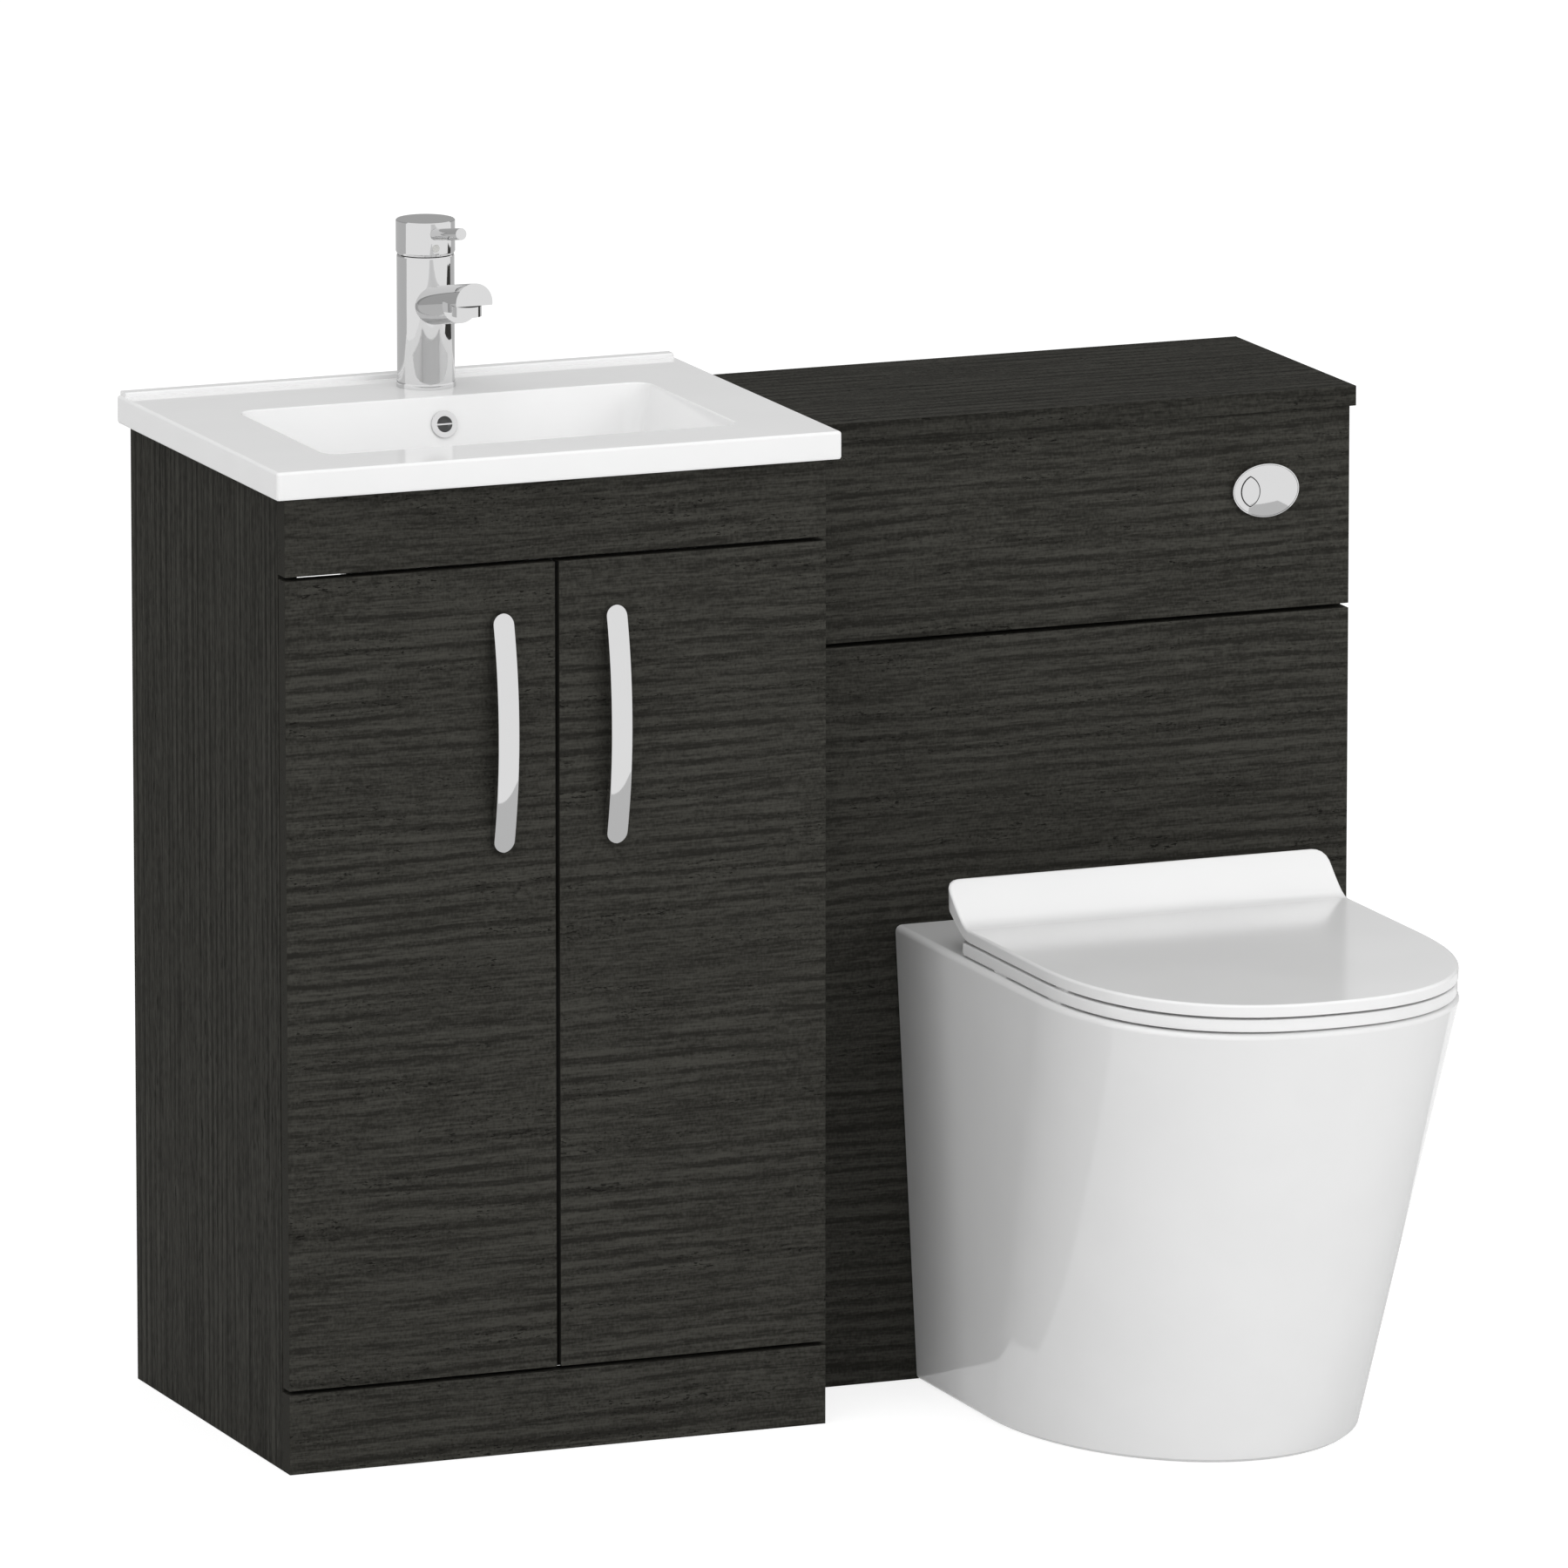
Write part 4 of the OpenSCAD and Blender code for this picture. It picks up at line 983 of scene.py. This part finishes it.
class BATH_OT_flush_button(Operator):
    """Dual flush button: a shallow dome with a lens-shaped half-flush button in it"""

    bl_idname = "bath.flush_button"
    bl_label = "Flush button"
    steps = 96
    dome_radius = 180 * MM
    depth = 3.45 * MM  # from the front of the dome to the buttons' flat backs
    stem_start = 2.7 * MM  # behind the front of the dome
    stem_end = 20.5 * MM  # behind the front of the housing
    full_stem = (6 * MM, 7 * MM)  # place from the middle, and radius
    half_stem = (-11.6 * MM, 3.9 * MM)
    rim_width = 1.15 * MM
    rim_play = 1.3 * MM  # from the full button's edge to the oval
    gap = 0.9 * MM  # round the half button
    proud = 0.5 * MM  # of the half button over the dome

    def execute(self, context):
        low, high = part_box("button_housing")
        full_low, full_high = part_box("flush_button_full")
        half_low, half_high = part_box("flush_button_half")
        self.middle = ((low.x + high.x) / 2, (low.z + high.z) / 2)
        self.front = full_low.y
        self.lens = (half_low.x + half_high.x) / 2 - self.middle[0]
        self.width = (half_high.x - half_low.x) / 2
        self.height = (half_high.z - half_low.z) / 2
        self.oval = ((high.x - low.x) / 2, full_high.z - self.middle[1] + self.rim_play)
        self.back = low.y + self.stem_end
        full = join(skin(self.full_rings(), ends=False), self.button_stem(self.full_stem))
        settle(full, "flush_button_full", chrome(), "full_flush_button", 60.0)
        half = join(skin(self.half_rings()), self.button_stem(self.half_stem))
        settle(half, "flush_button_half", chrome(), "half_flush_button", 60.0)
        self.gap_painted_shade()
        self.rim()
        return {"FINISHED"}

    def button_stem(self, size):
        """The stem that a button pushes with"""
        x, radius = self.middle[0] + size[0], size[1]
        return stem(x, self.middle[1], radius, self.front + self.stem_start, self.back)

    def dome(self, x, z, drop=0.0):
        """A point of the dome, in front of the panel"""
        radius = self.dome_radius
        fall = radius - math.sqrt(radius * radius - x * x - z * z)
        return (self.middle[0] + x, self.front + fall + drop, self.middle[1] + z)

    def lens_edge(self, t, grow):
        """A point of the lens outline, from its middle"""
        radius = arc_radius(self.height, self.width)
        shift = radius - self.width
        reach = radius + grow
        c = abs(math.cos(t))
        k = -shift * c + math.sqrt((shift * c) ** 2 + reach * reach - shift * shift)
        return (self.lens + k * math.cos(t), k * math.sin(t))

    def oval_edge(self, t, inset):
        """The point of the oval outline that lies in the same direction from the lens"""
        a, b = self.oval[0] - inset, self.oval[1] - inset
        c, s, x = math.cos(t), math.sin(t), self.lens
        p = (c / a) ** 2 + (s / b) ** 2
        q = x * c / (a * a)
        k = (-q + math.sqrt(q * q - p * ((x / a) ** 2 - 1))) / p
        return (x + k * c, k * s)

    def ring(self, edge, offset, drop):
        """An outline moved outward, under the dome or, without a drop, at the flat back"""
        turns = [math.tau * i / self.steps for i in range(self.steps)]
        points = [self.dome(*edge(t, offset), drop or 0.0) for t in turns]
        if drop is None:
            points = [(x, self.front + self.depth, z) for x, _, z in points]
        return points

    def full_rings(self):
        """From the gap round the lens over the dome to the rim, as (offset, drop) in mm"""
        rim = self.rim_width
        inner = ((0, None), (0, 0.15), (0.05, 0.05), (0.15, 0), (0.5, 0))
        outer = ((0.6, 0), (0.25, 0), (0.07, 0.07), (0, 0.25), (0, None))
        rings = [self.ring(self.lens_edge, a * MM, b and b * MM) for a, b in inner]
        for i in range(1, 8):
            share = i / 8
            ring = []
            for k in range(self.steps):
                t = math.tau * k / self.steps
                (ax, az), (bx, bz) = self.lens_edge(t, 0.0), self.oval_edge(t, rim)
                ring.append(self.dome(ax + (bx - ax) * share, az + (bz - az) * share))
            rings.append(ring)
        return rings + [self.ring(self.oval_edge, rim + a * MM, b and b * MM) for a, b in outer]

    def half_rings(self):
        """From the lens's flat back round its edge and in towards its middle"""
        edge = ((0, 0.15), (-0.05, 0.05), (-0.15, 0))
        rings = [self.ring(self.lens_edge, -self.gap, None)]
        rings += [
            self.ring(self.lens_edge, a * MM - self.gap, b * MM - self.proud) for a, b in edge
        ]
        face = edge[-1][0] * MM - self.gap
        for share in (0.85, 0.6, 0.35, 0.12):
            ring = []
            for k in range(self.steps):
                x, z = self.lens_edge(math.tau * k / self.steps, face)
                ring.append(self.dome(self.lens + (x - self.lens) * share, z * share, -self.proud))
            rings.append(ring)
        return rings

    def gap_painted_shade(self):
        """A near-black ring at the bottom of the gap round the lens, as painted shade in the gap
        """
        inner, outer, top, bottom = -0.85 * MM, -0.03 * MM, 0.25 * MM, 1.2 * MM
        corners = ((inner, bottom), (inner, top), (outer, top), (outer, bottom))
        rings = [self.ring(self.lens_edge, offset, drop) for offset, drop in corners]
        extra(skin(rings, ends=False), "gap_painted_shade", painted_shade_rubber(), "flush_button_full")

    def rim(self):
        """The housing, its rim carrying on the line of the dome"""
        bm = clean_copy("button_housing")
        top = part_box("button_housing")[0].y
        for vert in bm.verts:
            if vert.co.y < top + 0.1 * MM:
                x, z = vert.co.x - self.middle[0], vert.co.z - self.middle[1]
                vert.co = Vector(self.dome(x, z))
                vert.co.y = max(vert.co.y, self.front)
        settle(bm, "button_housing", chrome(), "flush_button_housing", 40.0)


class BATH_OT_cistern(Operator):
    """Cistern with its valves and pipes"""

    bl_idname = "bath.cistern"
    bl_label = "Cistern"

    def execute(self, context):
        coat("cistern_tank cistern_lid fill_valve flush_valve flush_pipe", white_plastic())
        coat("soil_connector", pale_plastic())
        return {"FINISHED"}


class BATH_OT_pan(Operator):
    """Back-to-wall pan and its fixings"""

    bl_idname = "bath.pan"
    bl_label = "Pan"

    def execute(self, context):
        soft_piece("pan", china(), angle=32.0)
        coat("pan_brackets", steel())
        return {"FINISHED"}


class BATH_OT_seat_and_lid(Operator):
    """Seat, lid, buffers and hinge posts"""

    bl_idname = "bath.seat_and_lid"
    bl_label = "Seat and lid"

    def execute(self, context):
        soft_piece("seat", seat_plastic(), angle=40.0)
        soft_piece("lid", seat_plastic(), angle=40.0)
        coat("seat_bumpers", seat_plastic())
        coat("seat_hinge", chrome())
        return {"FINISHED"}


class BATH_OT_studio(Operator):
    """Floor, room, lamps and camera"""

    bl_idname = "bath.studio"
    bl_label = "Studio"
    camera_place = (-5.646075, -13.695464, 3.639671)
    light_turn = 2.7  # the lit side's direction, in camera azimuths

    def execute(self, context):
        look = context.scene.bath_studio
        self.floor()
        self.room(context, look)
        self.cards()
        self.lamp(
            "key_lamp", look.key, place=(1.7, -4.0, 2.1), target=(0.1, -0.1, 0.5), size=(2.8, 2.2)
        )
        self.lamp(
            "top_lamp", look.fill, place=(-0.4, -0.9, 3.4), target=(0.0, 0.0, 0.4), size=(2.4, 2.0)
        )
        self.camera(context, look)
        context.scene.view_settings.view_transform = "Standard"
        return {"FINISHED"}

    def staged(self, name, bm, material):
        """A thing of the studio, which isn't part of the set"""
        mesh = bpy.data.meshes.new(name)
        bm.to_mesh(mesh)
        bm.free()
        mesh.materials.append(material)
        made = bpy.data.objects.new(name, mesh)
        bpy.context.scene.collection.objects.link(made)
        return made

    def floor(self):
        """A wide pale floor: white to the camera and in mirrors, with the shadow kept"""
        bm = bmesh.new()
        bmesh.ops.create_grid(bm, x_segments=8, y_segments=8, size=30.0)
        paint = Paint("pale_floor")
        seen, mirrored, through = paint.rays()
        plain = paint.add("ShaderNodeBsdfDiffuse", None, {"Color": (0.76, 0.76, 0.76)})
        lit = paint.add("ShaderNodeBsdfDiffuse", None, {"Color": (0.38, 0.38, 0.38)})
        bright = paint.add("ShaderNodeAddShader", None, {0: lit, 1: paint.glow(0.78)})
        other = (mirrored + through).lowest(1.0)
        unseen = paint.add("ShaderNodeMixShader", None, {0: other, 1: plain, 2: paint.glow(1.0)})
        mixed = paint.add("ShaderNodeMixShader", None, {0: seen, 1: unseen, 2: bright})
        paint.node("ShaderNodeOutputMaterial", None, {0: mixed})
        self.staged("floor", bm, paint.owner).location.z = -0.4 * MM

    def room(self, context, look):
        """A white room to the camera, lighter to the left and front and greyer elsewhere"""
        world = context.scene.world or bpy.data.worlds.new("room")
        context.scene.world = world
        paint = Paint("room", world)
        seen, mirrored, through = paint.rays()
        shown = (seen + mirrored + through).lowest(1.0)
        way = paint.add("ShaderNodeTexCoord", output=0)
        turn = look.azimuth * self.light_turn
        ahead = paint.add(
            "ShaderNodeVectorMath",
            {"operation": "DOT_PRODUCT"},
            {0: way, 1: (math.sin(turn), -math.cos(turn), 0.0)},
            output=1,
        )
        level = ahead.between(-0.02, 0.16) * (look.front - look.back) + look.back
        strength = shown + level * (1 - shown)
        light = paint.add("ShaderNodeBackground", None, {"Color": WHITE, "Strength": strength})
        paint.node("ShaderNodeOutputWorld", None, {0: light})

    def cards(self):
        """Grey cards that only polished surfaces mirror: behind the set and low in front of it"""
        lift = 1 * MM
        wide, far, tall = 14.0, 6.5, 12.0
        wall = ((-wide, 0.0), (wide, 0.0), (wide, tall), (-wide, tall))
        self.card("back_wall_card", [(x, far, z) for x, z in wall], 0.415)
        back = ((-wide, 1.98), (wide, 0.60), (wide, far), (-wide, far))
        self.card("back_floor_card", [(x, y, lift) for x, y in back], 0.57)
        left, right, near, under = -3.0, 1.84, -1.08, 0.39
        front = ((left, near), (right, near), (right, under), (left, under))
        self.card("front_floor_card", [(x, y, lift) for x, y in front], 0.63)
        side = ((0.604, 0.516), (0.899, 0.518), (1.45, 0.23), (1.45, 0.05), (0.62, 0.05))
        self.card("low_side_card", [(x, -0.6, z) for x, z in side], 0.63)

    def card(self, name, corners, brightness):
        """One flat card that glows in mirrors alone"""
        bm = bmesh.new()
        bm.faces.new([bm.verts.new(corner) for corner in corners])
        paint = Paint(name)
        paint.node("ShaderNodeOutputMaterial", None, {0: paint.glow(brightness)})
        card = self.staged(name, bm, paint.owner)
        for kind in ("camera", "diffuse", "shadow", "transmission", "volume_scatter"):
            setattr(card, "visible_" + kind, False)

    def lamp(self, name, power, place, target, size):
        """A soft rectangular lamp, left out of reflections"""
        data = bpy.data.lights.new(name, "AREA")
        data.shape = "RECTANGLE"
        data.size, data.size_y = size
        data.energy = power
        lamp = bpy.data.objects.new(name, data)
        lamp.location = place
        lamp.rotation_euler = (Vector(target) - Vector(place)).to_track_quat("-Z", "Y").to_euler()
        lamp.visible_glossy = False
        bpy.context.scene.collection.objects.link(lamp)

    def camera(self, context, look):
        """The photograph's long view from the left and a little above"""
        data = bpy.data.cameras.new("camera")
        data.sensor_width = 36.0
        data.lens = look.lens
        data.clip_end = 200.0
        camera = bpy.data.objects.new("camera", data)
        back = Vector(
            (
                math.sin(look.azimuth) * math.cos(look.elevation),
                -math.cos(look.azimuth) * math.cos(look.elevation),
                math.sin(look.elevation),
            )
        )
        camera.location = self.camera_place
        camera.rotation_euler = (-back).to_track_quat("-Z", "Y").to_euler()
        context.scene.collection.objects.link(camera)
        context.scene.camera = camera


class BATH_PT_panel(Panel):
    """Lists the set's pieces"""

    bl_idname = "BATH_PT_panel"
    bl_label = "Bathroom set"
    bl_space_type = "VIEW_3D"
    bl_region_type = "UI"
    bl_category = "Bathroom set"

    def draw(self, context):
        for operator in OPERATORS:
            self.layout.operator(operator.bl_idname)
        for group in SETTINGS:
            box = self.layout.box()
            held = getattr(context.scene, group)
            for key in held.bl_rna.properties.keys():
                if key not in ("rna_type", "name"):
                    box.prop(held, key)


OPERATORS = (
    BATH_OT_side_boards,
    BATH_OT_fronts,
    BATH_OT_handles,
    BATH_OT_hinges,
    BATH_OT_basin,
    BATH_OT_waste,
    BATH_OT_tap,
    BATH_OT_flush_button,
    BATH_OT_cistern,
    BATH_OT_pan,
    BATH_OT_seat_and_lid,
    BATH_OT_studio,
)
SETTINGS = {
    "bath_laminate": LaminateSettings,
    "bath_china": ChinaSettings,
    "bath_seat": SeatSettings,
    "bath_metal": MetalSettings,
    "bath_studio": StudioSettings,
}


def register():
    for group in SETTINGS.values():
        bpy.utils.register_class(group)
    for operator in OPERATORS:
        bpy.utils.register_class(operator)
    bpy.utils.register_class(BATH_PT_panel)
    for key, group in SETTINGS.items():
        setattr(bpy.types.Scene, key, PointerProperty(type=group))


def unregister():
    for key in SETTINGS:
        delattr(bpy.types.Scene, key)
    for kind in (BATH_PT_panel, *reversed(OPERATORS), *SETTINGS.values()):
        bpy.utils.unregister_class(kind)


def main():
    register()
    for operator in OPERATORS:
        group, action = operator.bl_idname.split(".")
        getattr(getattr(bpy.ops, group), action)()


if __name__ == "__main__":
    main()
